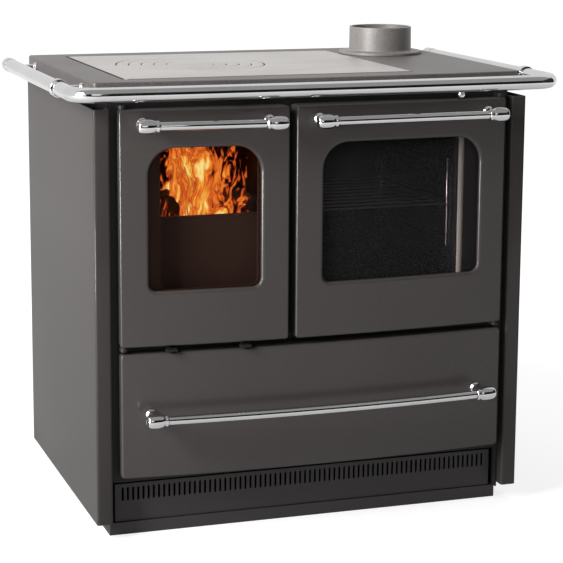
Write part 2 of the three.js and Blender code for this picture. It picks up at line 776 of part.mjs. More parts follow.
function buildFrontFrame() {
  const outer = casingHalf - frameInset;
  const outline = shapeOf([
    [-outer, drawerFloorZ], [outer, drawerFloorZ], [outer, frameTop], [-outer, frameTop],
  ]);
  outline.holes.push(pathOf(loopFor(fireboxMouth)));
  outline.holes.push(pathOf(loopFor(ovenMouth)));
  const ashHalf = ashPanWidth / 2 + ashPanGap;
  outline.holes.push(pathOf(loopFor({
    left: fireboxCentreX - ashHalf, right: fireboxCentreX + ashHalf,
    bottom: ashDoorwayBottom, top: ashDoorwayTop, topRadius: doorwayCorner / 2, bottomRadius: doorwayCorner / 2,
  })));
  outline.holes.push(pathOf(loopFor({
    left: -drawerDoorwayHalf, right: drawerDoorwayHalf,
    bottom: drawerDoorwayBottom, top: drawerDoorwayTop, topRadius: doorwayCorner, bottomRadius: doorwayCorner,
  })));
  let frame = toSolid(frontal(outline, [frameFaceY, frameBackY]));

  const through = [frameFaceY - 1, frameBackY + 1];
  for (const x of airSlideX) {
    const slot = airRodRadius + airSlotGap;
    frame = cut(frame, block(
      [x - slot, x + airSlideTravel + slot], through, [airSlideZ - slot, airSlideZ + slot],
    ));
  }
  const rodHole = disc(damperRodRadius + seat, [-frameThickness, 1], 12).rotateX(Math.PI / 2);
  frame = cut(frame, toSolid(rodHole.translate(damperX, frameFaceY, damperZ)));

  for (const door of [firebox, oven]) {
    const x = hingeX(door);
    for (const [z0, z1, pin] of [
      [doorBottom - seat - hingeLugHeight, doorBottom - seat, hingePinReach],
      [doorTop + seat, doorTop + seat + hingeLugHeight, -hingePinReach],
    ]) {
      const eye = toSolid(disc(hingeBossRadius, [z0, z1], 12).translate(x, hingeY, 0));
      const arm = block([x - hingeBossRadius, x + hingeBossRadius], [hingeY, frameFaceY + 1], [z0, z1]);
      const pinSpan = pin > 0 ? [z1 - 1, z1 + pin] : [z0 + pin, z0 + 1];
      const peg = toSolid(disc(hingePinRadius, pinSpan, 12).translate(x, hingeY, 0));
      frame = join(frame, eye, arm, peg);
    }
  }
  add("front_frame", frame, "darkSteel");
}

// ---------------------------------------------------------------------------------------------
// Doors
// ---------------------------------------------------------------------------------------------

const doorRect = (door) => ({
  left: door.left, right: door.right, bottom: doorBottom, top: doorTop,
  topRadius: doorCorner, bottomRadius: doorCorner,
});

const windowRect = (door) => ({
  left: door.left + windowStile,
  right: door.right - windowStile,
  bottom: doorBottom + windowBottomMargin,
  top: doorTop - windowTopMargin,
  topRadius: windowTopRadius,
  bottomRadius: windowBottomRadius,
});

// Rings of a bowed panel: `behind` is the depth behind the bowed face, or a flat plane's y in `flat`.
const bowedRing = (rect, behind, steps) =>
  roundedLoop(rect, ...steps).map(([x, z]) => [x, frontFace.y(x) + behind, z]);
const flatRing = (rect, y, steps) => roundedLoop(rect, ...steps).map(([x, z]) => [x, y, z]);

function roundedEdge(rect, radius, steps) {
  return [0, 45, 90].map((degrees) => {
    const angle = THREE.MathUtils.degToRad(degrees);
    return bowedRing(grown(rect, -radius * (1 - Math.cos(angle))), radius * (1 - Math.sin(angle)), steps);
  });
}

function buildDoorShell(name, door) {
  const steps = [7, 3];
  const outside = doorRect(door);
  const opening = windowRect(door);
  const rim = grown(outside, -rimWidth);
  const ledge = grown(outside, -rimWidth - ledgeWidth);
  const ledgeY = sealFaceY - innerPane - 2 * seat;
  let shell = toSolid(loft([
    flatRing(outside, doorBackY, steps),
    ...roundedEdge(outside, edgeRounding, steps),
    bowedRing(grown(opening, windowBevelWidth), 0, steps),
    bowedRing(opening, windowBevelDepth, steps),
    bowedRing(opening, shellThickness, steps),
    bowedRing(ledge, shellThickness, steps),
    flatRing(ledge, ledgeY, steps),
    flatRing(rim, ledgeY, steps),
    flatRing(rim, doorBackY, steps),
  ]));
  const x = hingeX(door);
  for (const [z0, z1] of [[doorBottom, doorBottom + hingeBossHeight], [doorTop - hingeBossHeight, doorTop]]) {
    const overlap = 1;
    const boss = toSolid(disc(hingeBossRadius - 0.5, [z0 + overlap, z1 - overlap], 12).translate(x, hingeY, 0));
    shell = shell.add(boss);
  }
  for (const [z0, z1] of [
    [doorBottom - 1, doorBottom + hingePinReach + 1],
    [doorTop - hingePinReach - 1, doorTop + 1],
  ]) {
    shell = shell.subtract(toSolid(disc(hingePinRadius + seat, [z0, z1], 12).translate(x, hingeY, 0)));
  }
  add(name, shell, "doorPaint");
}

// A pane bent to the door's bow, behind the window opening.
function buildGlass(name, door) {
  const steps = [8, 3];
  const edge = grown(windowRect(door), glassOverlap);
  const front = shellThickness + seat;
  const back = front + glassThickness;
  add(name, loft([bowedRing(edge, front, steps), bowedRing(edge, back, steps)], true), "glass");
}

const paneSpan = [sealFaceY - seat - innerPane, sealFaceY - seat];
const hingeNotch = (door) => {
  const x = hingeX(door);
  const reach = hingeBossRadius + hingeNotchGap;
  return [[x - reach, x + reach], [paneSpan[0] - 1, paneSpan[1] + 1]];
};

function buildDoorInner(name, door, opening, material) {
  const plate = grown(doorRect(door), -rimWidth - seat);
  const outline = shapeOf(loopFor(plate));
  if (opening) outline.holes.push(pathOf(loopFor(opening)));
  const [xs, ys] = hingeNotch(door);
  const reach = hingeBossHeight + hingeNotchGap;
  const inner = cut(
    toSolid(frontal(outline, paneSpan)),
    block(xs, ys, [doorBottom, doorBottom + reach]),
    block(xs, ys, [doorTop - reach, doorTop]),
  );
  add(name, inner, material);
}

function buildGasket(name, mouthRect) {
  const steps = [1, 2];
  const centre = grown(mouthRect, gasketInset);
  const half = gasketWidth / 2;
  const depth = gasketProud - seat;
  const ringAt = (by, ahead) => flatRing(grown(centre, by), frameFaceY - seat - ahead, steps);
  add(name, loft([
    ringAt(-half, 0),
    ringAt(-half, depth * 0.55),
    ringAt(-half * 0.5, depth - seat),
    ringAt(half * 0.5, depth - seat),
    ringAt(half, depth * 0.55),
    ringAt(half, 0),
  ]), "rope");
}

function buildFireboxDoor() {
  buildDoorShell("firebox_door", firebox);
  buildGlass("firebox_door_glass", firebox);
  // the lining reaches over the mouth's left edge, so that the gasket seats on it all round
  const left = fireboxMouth.left + liningOverlap;
  const opening = { ...windowRect(firebox), left, topRadius: mouthRadius, bottomRadius: mouthRadius };
  buildDoorInner("firebox_door_lining", firebox, opening, "castIron");
  buildDoorHandle("firebox", firebox);
  buildGasket("firebox_gasket", fireboxMouth);
}

function buildOvenDoor() {
  buildDoorShell("oven_door", oven);
  buildGlass("oven_door_glass", oven);
  buildDoorInner("oven_inner_pane", oven, null, "glass");
  buildDoorHandle("oven", oven);
  buildGasket("oven_gasket", ovenMouth);
}

// ---------------------------------------------------------------------------------------------
// Handles
// ---------------------------------------------------------------------------------------------

// The space behind the bowed front, less the seat, used to seat the rosettes on the doors.
const faceSteps = 60;
const behindFace = toSolid(upright([
  ...Array.from({ length: faceSteps + 1 }, (_, i) => {
    const x = -frontHalfSpan + (2 * frontHalfSpan * i) / faceSteps;
    return [x, frontFace.y(x) - seat];
  }),
  [frontHalfSpan, 0],
  [-frontHalfSpan, 0],
], [0, cooktopHeight]));

// A turned barrel on a stem; the barrel's axis follows `heading`, and its rosette seats on the door.
function buildHandleEnd(name, { x, y, z, heading }, outward) {
  const [r, l] = [endRadius, endLength];
  const half = l / 2;
  const barrel = turned([
    [0, half],
    [r * 0.62, half],
    [r * 0.9, half - l * 0.07],
    [r, half - l * 0.17],
    [r, -half + l * 0.3],
    [r * 0.86, -half + l * 0.22],
    [r * 0.94, -half + l * 0.12],
    [r * 0.8, -half],
    [0, -half],
  ], 12).rotateY(outward * Math.PI / 2).rotateZ(heading).translate(x, y, z);
  const reach = handleStandoff + stemOverlength;
  const stem = turned([
    [0, 0],
    [stemRadius, 0],
    [stemRadius, handleStandoff - rosetteThickness - stemFlare],
    [rosetteRadius, handleStandoff - rosetteThickness],
    [rosetteRadius, reach],
    [0, reach],
  ], 10).rotateX(-Math.PI / 2).translate(x, y, z);
  add(name, cut(join(toSolid(barrel), toSolid(stem)), behindFace), "chrome");
}

function barEnds(left, right, margin) {
  const centre = margin + endLength / 2;
  const at = (x) => [x, frontFace.y(x) - handleStandoff];
  return [at(left + centre), at(right - centre)];
}

function buildDoorHandle(prefix, door) {
  const z = doorTop - handleDrop;
  const [a, b] = barEnds(door.left, door.right, handleMargin);
  const heading = Math.atan2(b[1] - a[1], b[0] - a[0]);
  const along = endLength / 2 + seat;
  const from = [a[0] + along * Math.cos(heading), a[1] + along * Math.sin(heading)];
  const to = [b[0] - along * Math.cos(heading), b[1] - along * Math.sin(heading)];
  add(`${prefix}_handle_bar`, rod(straight(from, to, z), barRadius, 16), "chrome");
  buildHandleEnd(`${prefix}_handle_left_end`, { x: a[0], y: a[1], z, heading }, -1);
  buildHandleEnd(`${prefix}_handle_right_end`, { x: b[0], y: b[1], z, heading }, 1);
}

function buildDrawerHandle() {
  const z = drawerHandleZ;
  const [a, b] = barEnds(-frontHalfSpan, frontHalfSpan, drawerHandleMargin);
  const heading = (x) => Math.atan(frontFace.slope(x));
  const reach = b[0] - (endLength / 2) * Math.cos(heading(b[0])) - 2 * seat;
  const stations = [];
  const steps = 8;
  for (let i = 0; i <= steps; i++) {
    const x = -reach + (2 * reach * i) / steps;
    stations.push({ x, y: frontFace.y(x) - handleStandoff, z, heading: heading(x) });
  }
  add("drawer_handle_bar", rod(stations, barRadius, 12), "chrome");
  buildHandleEnd("drawer_handle_left_end", { x: a[0], y: a[1], z, heading: heading(a[0]) }, -1);
  buildHandleEnd("drawer_handle_right_end", { x: b[0], y: b[1], z, heading: heading(b[0]) }, 1);
}

// ---------------------------------------------------------------------------------------------
// Drawer
// ---------------------------------------------------------------------------------------------

function buildDrawer() {
  const steps = [16, 3];
  const outside = {
    left: -frontHalfSpan, right: frontHalfSpan, bottom: drawerBottom, top: drawerTop,
    topRadius: doorCorner, bottomRadius: doorCorner,
  };
  const rim = grown(outside, -drawerRim);
  add("drawer_front", loft([
    bowedRing(rim, drawerShell, steps),
    flatRing(rim, doorBackY, steps),
    flatRing(outside, doorBackY, steps),
    ...roundedEdge(outside, edgeRounding, steps),
  ], true), "doorPaint");

  const t = drawerBoxSheet;
  const front = doorBackY + seat;
  const rear = front + drawerBoxDepth;
  const low = drawerDoorwayBottom + drawerBoxRise;
  const high = drawerTop - drawerBoxTopGap;
  const tray = block([-drawerBoxHalf, drawerBoxHalf], [front, rear], [low, high]);
  const inside = block([-drawerBoxHalf + t, drawerBoxHalf - t], [front + t, rear - t], [low + t, high + 1]);
  const rest = (side) => block(
    [side * (drawerBoxHalf - t / 2), side * (drawerDoorwayHalf - runnerGap)].sort(ascending),
    [frameBackY + seat, rear], [high - t, high],
  );
  add("drawer_box", join(cut(tray, inside), rest(-1), rest(1)), "zinc");

  // angle runners on the casing's walls; the box hangs on them by its turned-out edges
  const wall = casingInner - seat;
  const seatZ = high - t - seat;
  const length = [casingFrontY + runnerSetback, rear];
  const angle = (side) => join(
    block(
      [side * (drawerBoxHalf + runnerGap), side * wall].sort(ascending), length, [seatZ - runnerSheet, seatZ],
    ),
    block([side * (wall - runnerSheet), side * wall].sort(ascending), length, [seatZ - runnerHeight, seatZ]),
  );
  add("left_drawer_runner", angle(-1), "zinc");
  add("right_drawer_runner", angle(1), "zinc");
}

// ---------------------------------------------------------------------------------------------
// Cooktop
// ---------------------------------------------------------------------------------------------

function buildCooktop() {
  const half = cooktopWidth / 2;
  const skirtBottom = frameTop + seat;
  const planFor = (inset, radius) => bowedPlan(topFace, half, cooktopRear, inset, radius, 16);
  const casting = toSolid(upright(planFor(0, cooktopCorner), [skirtBottom, cooktopHeight]));
  const hollow = toSolid(upright(planFor(cooktopSkirt, 3), [skirtBottom - 1, topUnderside]));
  const plateRect = (by) => [[plateLeft - by, plateRight + by], [plateFront - by, plateRear + by]];
  const opening = block(...plateRect(seat), [cooktopHeight - plateThickness - seat, cooktopHeight + 1]);
  const through = block(...plateRect(-plateLedge), [skirtBottom - 1, cooktopHeight + 1]);
  const ledge = block(...plateRect(plateLedge), [cooktopHeight - 2 * plateThickness, topUnderside + 0.5]);
  const rib = block(
    [-casingHalf + ribEndGap, casingHalf - ribEndGap], [frameFaceY, frameFaceY + ribWidth],
    [skirtBottom, topUnderside + 1],
  );
  const flueHole = toSolid(disc(flueRadius - flueWall, [skirtBottom - 1, cooktopHeight + 1], 24)
    .translate(flueX, flueY, 0));
  add("cooktop_frame", cut(join(cut(casting, hollow), ledge, rib), opening, through, flueHole), "castTop");

  const lap = ringLap;
  const level = cooktopHeight - plateThickness / 2;
  const plateOutline = roundedLoop({
    left: plateLeft, right: plateRight, bottom: plateFront, top: plateRear,
    topRadius: plateCorner, bottomRadius: plateCorner,
  }, 1, 2);
  const plate = toSolid(upright(plateOutline, [cooktopHeight - plateThickness, cooktopHeight]));
  const ringPlace = [ringCentreX, ringCentreY, 0];
  const upper = toSolid(disc(ringOuterRadius, [level, cooktopHeight + 1], ringSides).translate(...ringPlace));
  const lower = toSolid(disc(ringOuterRadius - lap, [0, cooktopHeight], ringSides).translate(...ringPlace));
  add("hot_plate", cut(plate, upper, lower), "hotPlate");

  const top = cooktopHeight;
  const bottom = cooktopHeight - plateThickness;
  const rest = level + seat;
  for (let i = ringCount; i >= 1; i--) {
    const outer = lidRadius + ringWidth * i;
    const inner = outer - ringWidth;
    add(`ring_${i}`, turned([
      [inner, top],
      [outer - seat, top],
      [outer - seat, rest],
      [outer - lap - seat, rest],
      [outer - lap - seat, bottom],
      [inner - lap, bottom],
      [inner - lap, level],
      [inner, level],
      [inner, top],
    ], ringSides), "hotPlate", ringPlace);
  }
  add("centre_lid", turned([
    [0, top],
    [lidRadius - seat, top],
    [lidRadius - seat, rest],
    [lidRadius - lap - seat, rest],
    [lidRadius - lap - seat, bottom],
    [0, bottom],
  ], ringSides), "hotPlate", ringPlace);
}

// ---------------------------------------------------------------------------------------------
// Flue collar, outlet box and damper
// ---------------------------------------------------------------------------------------------

function buildFlue() {
  const low = cooktopHeight + seat;
  const shoulder = low + flueFlangeThickness;
  const high = cooktopHeight + flueHeight;
  const bore = flueRadius - flueWall;
  add("flue_collar", turned([
    [bore, low],
    [flueFlangeRadius, low],
    [flueFlangeRadius, shoulder - 1.5],
    [flueFlangeRadius - 1.5, shoulder],
    [flueRadius, shoulder],
    [flueRadius - 0.8, high - 1],
    [flueRadius - 1.8, high],
    [bore + 0.8, high],
    [bore, high - 1],
    [bore, low],
  ], 24), "castIron", [flueX, flueY, 0]);

  const t = casingSheet;
  const left = flueX - outletBoxSide;
  const right = casingInner - seat;
  const front = flueY - outletBoxDepthFront;
  const rear = casingRearY - casingSheet - seat;
  const top = topUnderside - seat;
  const floor = block([left, right], [front, rear], [outletFloorZ, outletFloorZ + t]);
  const frontWall = block([left, right], [front, front + t], [outletFloorZ, top]);
  const leftWall = block([left, left + t], [front, rear], [outletFloorZ, top]);
  const hole = toSolid(
    disc(outletHoleRadius, [outletFloorZ - 1, outletFloorZ + t + 1], 20).translate(flueX, flueY, 0),
  );
  const rodHole = toSolid(disc(damperRodRadius + seat, [-t - 1, 1], 12).rotateX(Math.PI / 2)
    .translate(damperX, front, damperZ));
  add("outlet_box", cut(join(floor, frontWall, leftWall), hole, rodHole), "darkSteel");

  const plateZ = outletFloorZ + t + seat;
  const plateHalf = damperPlateSize / 2;
  const plateFrontY = flueY - plateHalf;
  const plate = block(
    [flueX - plateHalf, flueX + plateHalf], [plateFrontY, flueY + plateHalf], [plateZ, plateZ + t],
  );
  const tab = block(
    [damperX - damperTabWidth / 2, damperX + damperTabWidth / 2], [plateFrontY, plateFrontY + t],
    [plateZ, damperZ + damperTabTop],
  );
  const knobY = frameFaceY - damperKnobReach;
  const shank = rod(straight([damperX, knobY], [damperX, plateFrontY + t / 2], damperZ), damperRodRadius, 10);
  const knob = new THREE.SphereGeometry(damperKnobRadius, 12, 8).translate(damperX, knobY, damperZ);
  add("damper", join(plate, tab, toSolid(shank), toSolid(knob)), "darkSteel");
}

// ---------------------------------------------------------------------------------------------
// Handrail
// ---------------------------------------------------------------------------------------------

function buildHandrail() {
  const tilt = Math.atan(railFace.slope(railX - railElbow)); // the front tube's heading at its right end
  const elbowSteps = 5;
  const turnStation = (side, i) => {
    const angle = Math.PI + (i / elbowSteps) * (Math.PI / 2 - tilt);
    const endX = -railX + railElbow + railElbow * Math.cos(1.5 * Math.PI - tilt);
    const centreY = railFace.y(endX) + railElbow * Math.cos(tilt);
    return {
      x: side * (-railX + railElbow + railElbow * Math.cos(angle)) * -1,
      y: centreY + railElbow * Math.sin(angle),
      angle,
    };
  };
  const stations = [{ x: -railX, y: railJointY, z: railZ, heading: -Math.PI / 2 }];
  for (let i = 0; i <= elbowSteps; i++) {
    const { x, y, angle } = turnStation(-1, i);
    stations.push({ x, y, z: railZ, heading: angle + Math.PI / 2 - 2 * Math.PI });
  }
  const frontSteps = 6;
  const span = stations[stations.length - 1].x;
  for (let i = 1; i < frontSteps; i++) {
    const x = span - (2 * span * i) / frontSteps;
    stations.push({ x, y: railFace.y(x), z: railZ, heading: Math.atan(railFace.slope(x)) });
  }
  const leftHalf = stations.slice(0, elbowSteps + 2).reverse();
  for (const s of leftHalf) stations.push({ ...s, x: -s.x, heading: -s.heading });
  add("front_handrail", tube(stations, railRadius, railRadius - railWall, railSides), "chrome");

  // side tube: open at the joint, closed by a round end at the back, with a slightly wider end piece
  const length = railRearY - railJointY - seat;
  const [r, w] = [railRadius, railWall];
  const dome = (radius, centre, i) => [
    radius * Math.cos((i / 3) * (Math.PI / 2)), centre + radius * Math.sin((i / 3) * (Math.PI / 2)),
  ];
  const wide = r + railEndWidening;
  const profile = [
    [r - w, 0],
    [r, 0],
    [r, length - railEndPiece - 1],
    [wide, length - railEndPiece],
    ...[0, 1, 2].map((i) => dome(wide, length - wide, i)),
    [0, length],
    [0, length - wide],
    [r - w, length - wide - 6],
    [r - w, 0],
  ];
  const right = turned(profile, railSides).rotateX(-Math.PI / 2).translate(railX, railJointY + seat, railZ);
  add("right_handrail", right, "chrome");
  add("left_handrail", mirrored(right), "chrome");

  // collars sleeve the joints and carry the rail on studs from the cooktop's edge
  const edge = cooktopWidth / 2 + seat;
  const bore = railRadius + seat;
  const collarSides = 12;
  const collarBore = bore / Math.cos(Math.PI / collarSides); // the bore's flats clear the tube
  const halfCollar = collarLength / 2;
  const collar = turned([
    [collarBore, -halfCollar],
    [collarRadius - 1, -halfCollar],
    [collarRadius, -halfCollar + 2],
    [collarRadius, halfCollar - 2],
    [collarRadius - 1, halfCollar],
    [collarBore, halfCollar],
    [collarBore, -halfCollar],
  ], collarSides).rotateX(-Math.PI / 2).translate(railX, railJointY, railZ);
  const studTo = (reach, y) => toSolid(turned([
    [0, 0],
    [studFootRadius, 0],
    [studFootRadius, studFootThickness],
    [studRadius, studFootThickness + studFootTaper],
    [studRadius, reach],
    [0, reach],
  ], 10).rotateY(Math.PI / 2).translate(edge, y, railZ));
  const footed = toGeometry(join(toSolid(collar), studTo(railX - edge - collarBore - 1, railJointY)));
  add("right_rail_collar", footed, "chrome");
  add("left_rail_collar", mirrored(footed), "chrome");
  const tubeHole = disc(bore, [-studRadius * 2, studRadius * 2], 16).rotateX(Math.PI / 2);
  const bracket = toGeometry(cut(
    studTo(railX - edge, sideStudY), toSolid(tubeHole.translate(railX, sideStudY, railZ)),
  ));
  add("right_rail_stud", bracket, "chrome");
  add("left_rail_stud", mirrored(bracket), "chrome");

  for (const [name, x] of [["front_left_rail_stud", -frontStudX], ["front_right_rail_stud", frontStudX]]) {
    const [from, to] = [topFace.y(x) - seat, railFace.y(x)];
    const overshoot = 6; // past the cooktop's bowed edge, then cut back to it
    const stud = turned([
      [0, -overshoot],
      [studFootRadius, -overshoot],
      [studFootRadius, studFootThickness],
      [studRadius, studFootThickness + studFootTaper],
      [studRadius, from - to],
      [0, from - to],
    ], 12).rotateX(Math.PI / 2).translate(x, from, railZ);
    const edgeBlock = toSolid(upright(
      bowedPlan(topFace, cooktopWidth / 2, cooktopRear, -seat, cooktopCorner, 16), [frameTop, cooktopHeight],
    ));
    const railBore = toSolid(rod(stations, bore, 16));
    add(name, cut(toSolid(stud), edgeBlock, railBore), "chrome");
  }
}

// ---------------------------------------------------------------------------------------------
// Firebox and ash pan
// ---------------------------------------------------------------------------------------------

function buildFirebox() {
  const t = casingSheet;
  const innerLeft = fireboxLeft - brickThickness - 2 * seat;
  const innerRight = fireboxRight + brickThickness + 2 * seat;
  const innerRear = brickRearY + brickThickness + 2 * seat;
  const floorTop = fireboxFloorZ + t;
  const wallTop = topUnderside - seat;
  const rearHigh = wallTop - plateThickness - seat;
  const leftWall = block([innerLeft - t, innerLeft], [casingFrontY, innerRear + t], [fireboxFloorZ, rearHigh]);
  const height = [fireboxFloorZ, fireboxWallTop];
  const rightWall = block([innerRight, innerRight + t], [casingFrontY, innerRear + t], height);
  const rearWall = block([innerLeft - t, innerRight + t], [innerRear, innerRear + t], height);
  const floor = block([innerLeft - t, innerRight + t], [casingFrontY, innerRear + t], [fireboxFloorZ, floorTop]);
  const grateY = (brickFrontY + brickRearY) / 2;
  const holeHalf = grateWidth / 2 - grateLap;
  const holeReach = grateLength / 2 - grateLap;
  const hole = block(
    [fireboxCentreX - holeHalf, fireboxCentreX + holeHalf],
    [grateY - holeReach, grateY + holeReach], [fireboxFloorZ - 1, floorTop + 1],
  );
  add("firebox_casing", cut(join(leftWall, rightWall, rearWall, floor), hole), "darkSteel");

  const brickZ = [floorTop + seat, fireboxWallTop];
  const sideBrick = (x0) => block([x0, x0 + brickThickness], [brickFrontY, brickRearY], brickZ);
  add("left_firebrick", sideBrick(fireboxLeft - brickThickness - seat), "fireBrick");
  add("right_firebrick", sideBrick(fireboxRight + seat), "fireBrick");
  add("rear_firebrick", block(
    [innerLeft + seat, innerRight - seat], [brickRearY + seat, brickRearY + seat + brickThickness], brickZ,
  ), "fireBrick");

  const grateHalf = grateWidth / 2;
  const outline = shapeOf([
    [-grateHalf, -grateLength / 2], [grateHalf, -grateLength / 2],
    [grateHalf, grateLength / 2], [-grateHalf, grateLength / 2],
  ]);
  for (let i = 0; i < grateSlots; i++) {
    const x = (i - (grateSlots - 1) / 2) * gratePitch;
    for (const side of [-1, 1]) {
      const [near, far] = [side * grateMiddleBar / 2, side * (grateLength / 2 - grateEdge)].sort(ascending);
      outline.holes.push(slotPath([x - grateSlotWidth / 2, x + grateSlotWidth / 2], [near, far]));
    }
  }
  const grateZ = floorTop + seat;
  add("grate", upright(outline, [0, grateThickness]), "castIron", [fireboxCentreX, grateY, grateZ]);

  const guardHalf = fireboxWidth / 2 + brickThickness * 0.7;
  add("log_guard", join(
    block([fireboxCentreX - guardHalf, fireboxCentreX + guardHalf], [guardBackY - guardSheet, guardBackY],
      [floorTop + seat, guardTop]),
    block(
      [fireboxLeft + guardLipInset, fireboxRight - guardLipInset], [guardBackY - guardSheet, guardBackY + guardLip],
      [guardTop - guardSheet, guardTop]),
  ), "castIron");

  const s = ashPanSheet;
  const panHalf = ashPanWidth / 2;
  const panFront = frameFaceY + 1;
  const panZ = middleShelfZ + casingSheet + seat;
  const low = ashDoorwayBottom + ashPanGap; // the pan's floor is raised on its skids to pass the doorway
  const pan = block([-panHalf, panHalf], [panFront, panFront + ashPanDepth], [low, low + ashPanHeight]);
  const panRear = panFront + ashPanDepth;
  const inside = block([-panHalf + s, panHalf - s], [panFront + s, panRear - s], [low + s, low + ashPanHeight + 1]);
  const skid = (x) => block(
    [x - ashSkidWidth / 2, x + ashSkidWidth / 2], [casingFrontY + guardSetback, panRear], [panZ, low + s / 2],
  );
  const body = join(cut(pan, inside), skid(-panHalf + ashSkidInset), skid(panHalf - ashSkidInset));
  add("ash_pan", body, "zinc", [fireboxCentreX, 0, 0]);
}

// ---------------------------------------------------------------------------------------------
// Oven
// ---------------------------------------------------------------------------------------------

function buildOven() {
  const t = linerSheet;
  const rear = casingFrontY + ovenDepth;
  const shell = block([ovenLeft - t, ovenRight + t], [casingFrontY, rear + t], [ovenBottom - t, ovenTop + t]);
  const inside = block([ovenLeft, ovenRight], [casingFrontY - 1, rear], [ovenBottom, ovenTop]);
  add("oven_liner", cut(shell, inside), "enamel");

  const wallGap = guideWire + seat;
  const ladder = (wallX, side) => {
    const x = wallX - side * wallGap;
    const [low, high] = [guideLevels[0] - guidePairGap, guideLevels[guideLevels.length - 1] + guidePairGap];
    const posts = [guideFrontY, guideRearY].map((y) => wire([x, y, low], [x, y, high], guideWire));
    const rails = guideLevels.flatMap((z) => [-0.5, 0.5].map((k) => {
      const level = z + k * guidePairGap;
      const inward = x - side * (guideWire * 1.5);
      const [front, rear] = [guideFrontY - guideOverhang, guideRearY + guideOverhang];
      return wire([inward, front, level], [inward, rear, level], guideWire);
    }));
    return join(...posts, ...rails);
  };
  // the two posts of a ladder only meet through the rails, so the rails come second in the join
  add("left_rack_guide", ladder(ovenLeft, -1), "chrome");
  add("right_rack_guide", ladder(ovenRight, 1), "chrome");

  const railInner = (wallX, side) => wallX - side * (wallGap + guideWire * 1.5);
  const rackZ = guideLevels[Math.floor(guideCount / 2)] - guidePairGap / 2 + guideWire + seat + rackWire;
  const [x0, x1] = [railInner(ovenLeft, -1) + rackInset, railInner(ovenRight, 1) - rackInset];
  const [y0, y1] = [guideFrontY - rackOverhang, guideRearY + rackOverhang];
  const bars = [
    wire([x0, y0, rackZ], [x0, y1, rackZ], rackWire),
    wire([x1, y0, rackZ], [x1, y1, rackZ], rackWire),
  ];
  for (let i = 0; i <= rackBars; i++) {
    const y = y0 + rackWire + ((y1 - y0 - 2 * rackWire) * i) / rackBars;
    bars.push(wire([x0, y, rackZ], [x1, y, rackZ], rackWire * 0.8));
  }
  add("oven_rack", join(...bars), "chrome");
}

// ---------------------------------------------------------------------------------------------
// Air slides
// ---------------------------------------------------------------------------------------------

function buildAirSlides() {
  const plateFront = frameBackY + seat;
  ["primary_air_slide", "secondary_air_slide"].forEach((name, i) => {
    const x = airSlideX[i];
    const plate = block(
      [x - airPlateEnd, x + airSlideTravel + airPlateEnd], [plateFront, plateFront + airPlateSheet],
      [airSlideZ - airPlateHeight / 2, airSlideZ + airPlateHeight / 2],
    );
    const leverEnd = frontFace.y(x) - airLeverProud;
    const shank = rod(straight([x, plateFront + 1], [x, leverEnd + 2], airSlideZ), airRodRadius, 8);
    const lever = block(
      [x - airLeverWidth / 2, x + airLeverWidth / 2], [leverEnd, leverEnd + airLeverLength],
      [airSlideZ - airLeverThickness / 2, airSlideZ + airLeverThickness / 2],
    );
    add(name, join(plate, toSolid(shank), lever), "darkSteel");
  });
}

// ---------------------------------------------------------------------------------------------
// Assembly
// ---------------------------------------------------------------------------------------------

inGroup("plinth", buildPlinth);
inGroup("body", buildPanels, buildCasing, buildFrontFrame);
inGroup("firebox_door_assembly", buildFireboxDoor);
inGroup("oven_door_assembly", buildOvenDoor);
inGroup("drawer_assembly", buildDrawer, buildDrawerHandle);
inGroup("cooktop_assembly", buildCooktop, buildFlue);
inGroup("handrail_assembly", buildHandrail);
inGroup("firebox_assembly", buildFirebox, buildAirSlides);
inGroup("oven_assembly", buildOven);

export default stove;
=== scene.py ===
# A wood cookstove: painted steel body, two bowed doors with windows, wood drawer, cast cooktop with a
# hot plate and rings, flue collar and a polished handrail. Metres, front towards -Y, floor at z = 0.

import math

import bmesh
import bpy
import numpy as np
from mathutils import Matrix, Vector


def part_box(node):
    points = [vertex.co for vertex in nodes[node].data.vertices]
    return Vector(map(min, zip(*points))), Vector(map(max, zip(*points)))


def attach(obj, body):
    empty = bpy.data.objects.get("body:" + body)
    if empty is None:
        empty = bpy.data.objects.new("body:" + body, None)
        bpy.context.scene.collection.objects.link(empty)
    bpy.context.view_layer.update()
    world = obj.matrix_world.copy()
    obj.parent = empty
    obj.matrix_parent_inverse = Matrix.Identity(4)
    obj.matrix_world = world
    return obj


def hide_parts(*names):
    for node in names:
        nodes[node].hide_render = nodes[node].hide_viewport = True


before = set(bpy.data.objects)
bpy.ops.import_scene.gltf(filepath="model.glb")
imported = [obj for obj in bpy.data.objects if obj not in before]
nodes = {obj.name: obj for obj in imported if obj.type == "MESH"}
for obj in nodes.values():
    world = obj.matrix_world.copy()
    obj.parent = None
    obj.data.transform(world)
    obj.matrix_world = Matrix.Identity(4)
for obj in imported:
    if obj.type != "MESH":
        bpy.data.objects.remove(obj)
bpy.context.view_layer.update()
print("frame loaded,", len(nodes), "nodes")

mm = 0.001
fullTurn = 2 * math.pi
seat = 0.3 * mm  # gap between pieces that seat on one another
leastCorner = 0.2 * mm
upward, rearward = (0, 0, 1), (0, 1, 0)


# ---- shapes as arrays

def unit(vectors):
    vectors = np.asarray(vectors, float)
    return vectors / np.linalg.norm(vectors, axis=-1, keepdims=True)


def quarterTurn(count):
    return np.linspace(0, math.pi / 2, count)


def rectangle(left, right, bottom, top, topRadius, bottomRadius=None):
    bottomRadius = topRadius if bottomRadius is None else bottomRadius
    return np.array([left, right, bottom, top, topRadius, bottomRadius])


# the same rounded rectangle with every side moved outwards by `by`
def grown(rect, by):
    wider = rect + by * np.array([-1, 1, -1, 1, 1, 1])
    wider[4:] = np.maximum(wider[4:], leastCorner)
    return wider


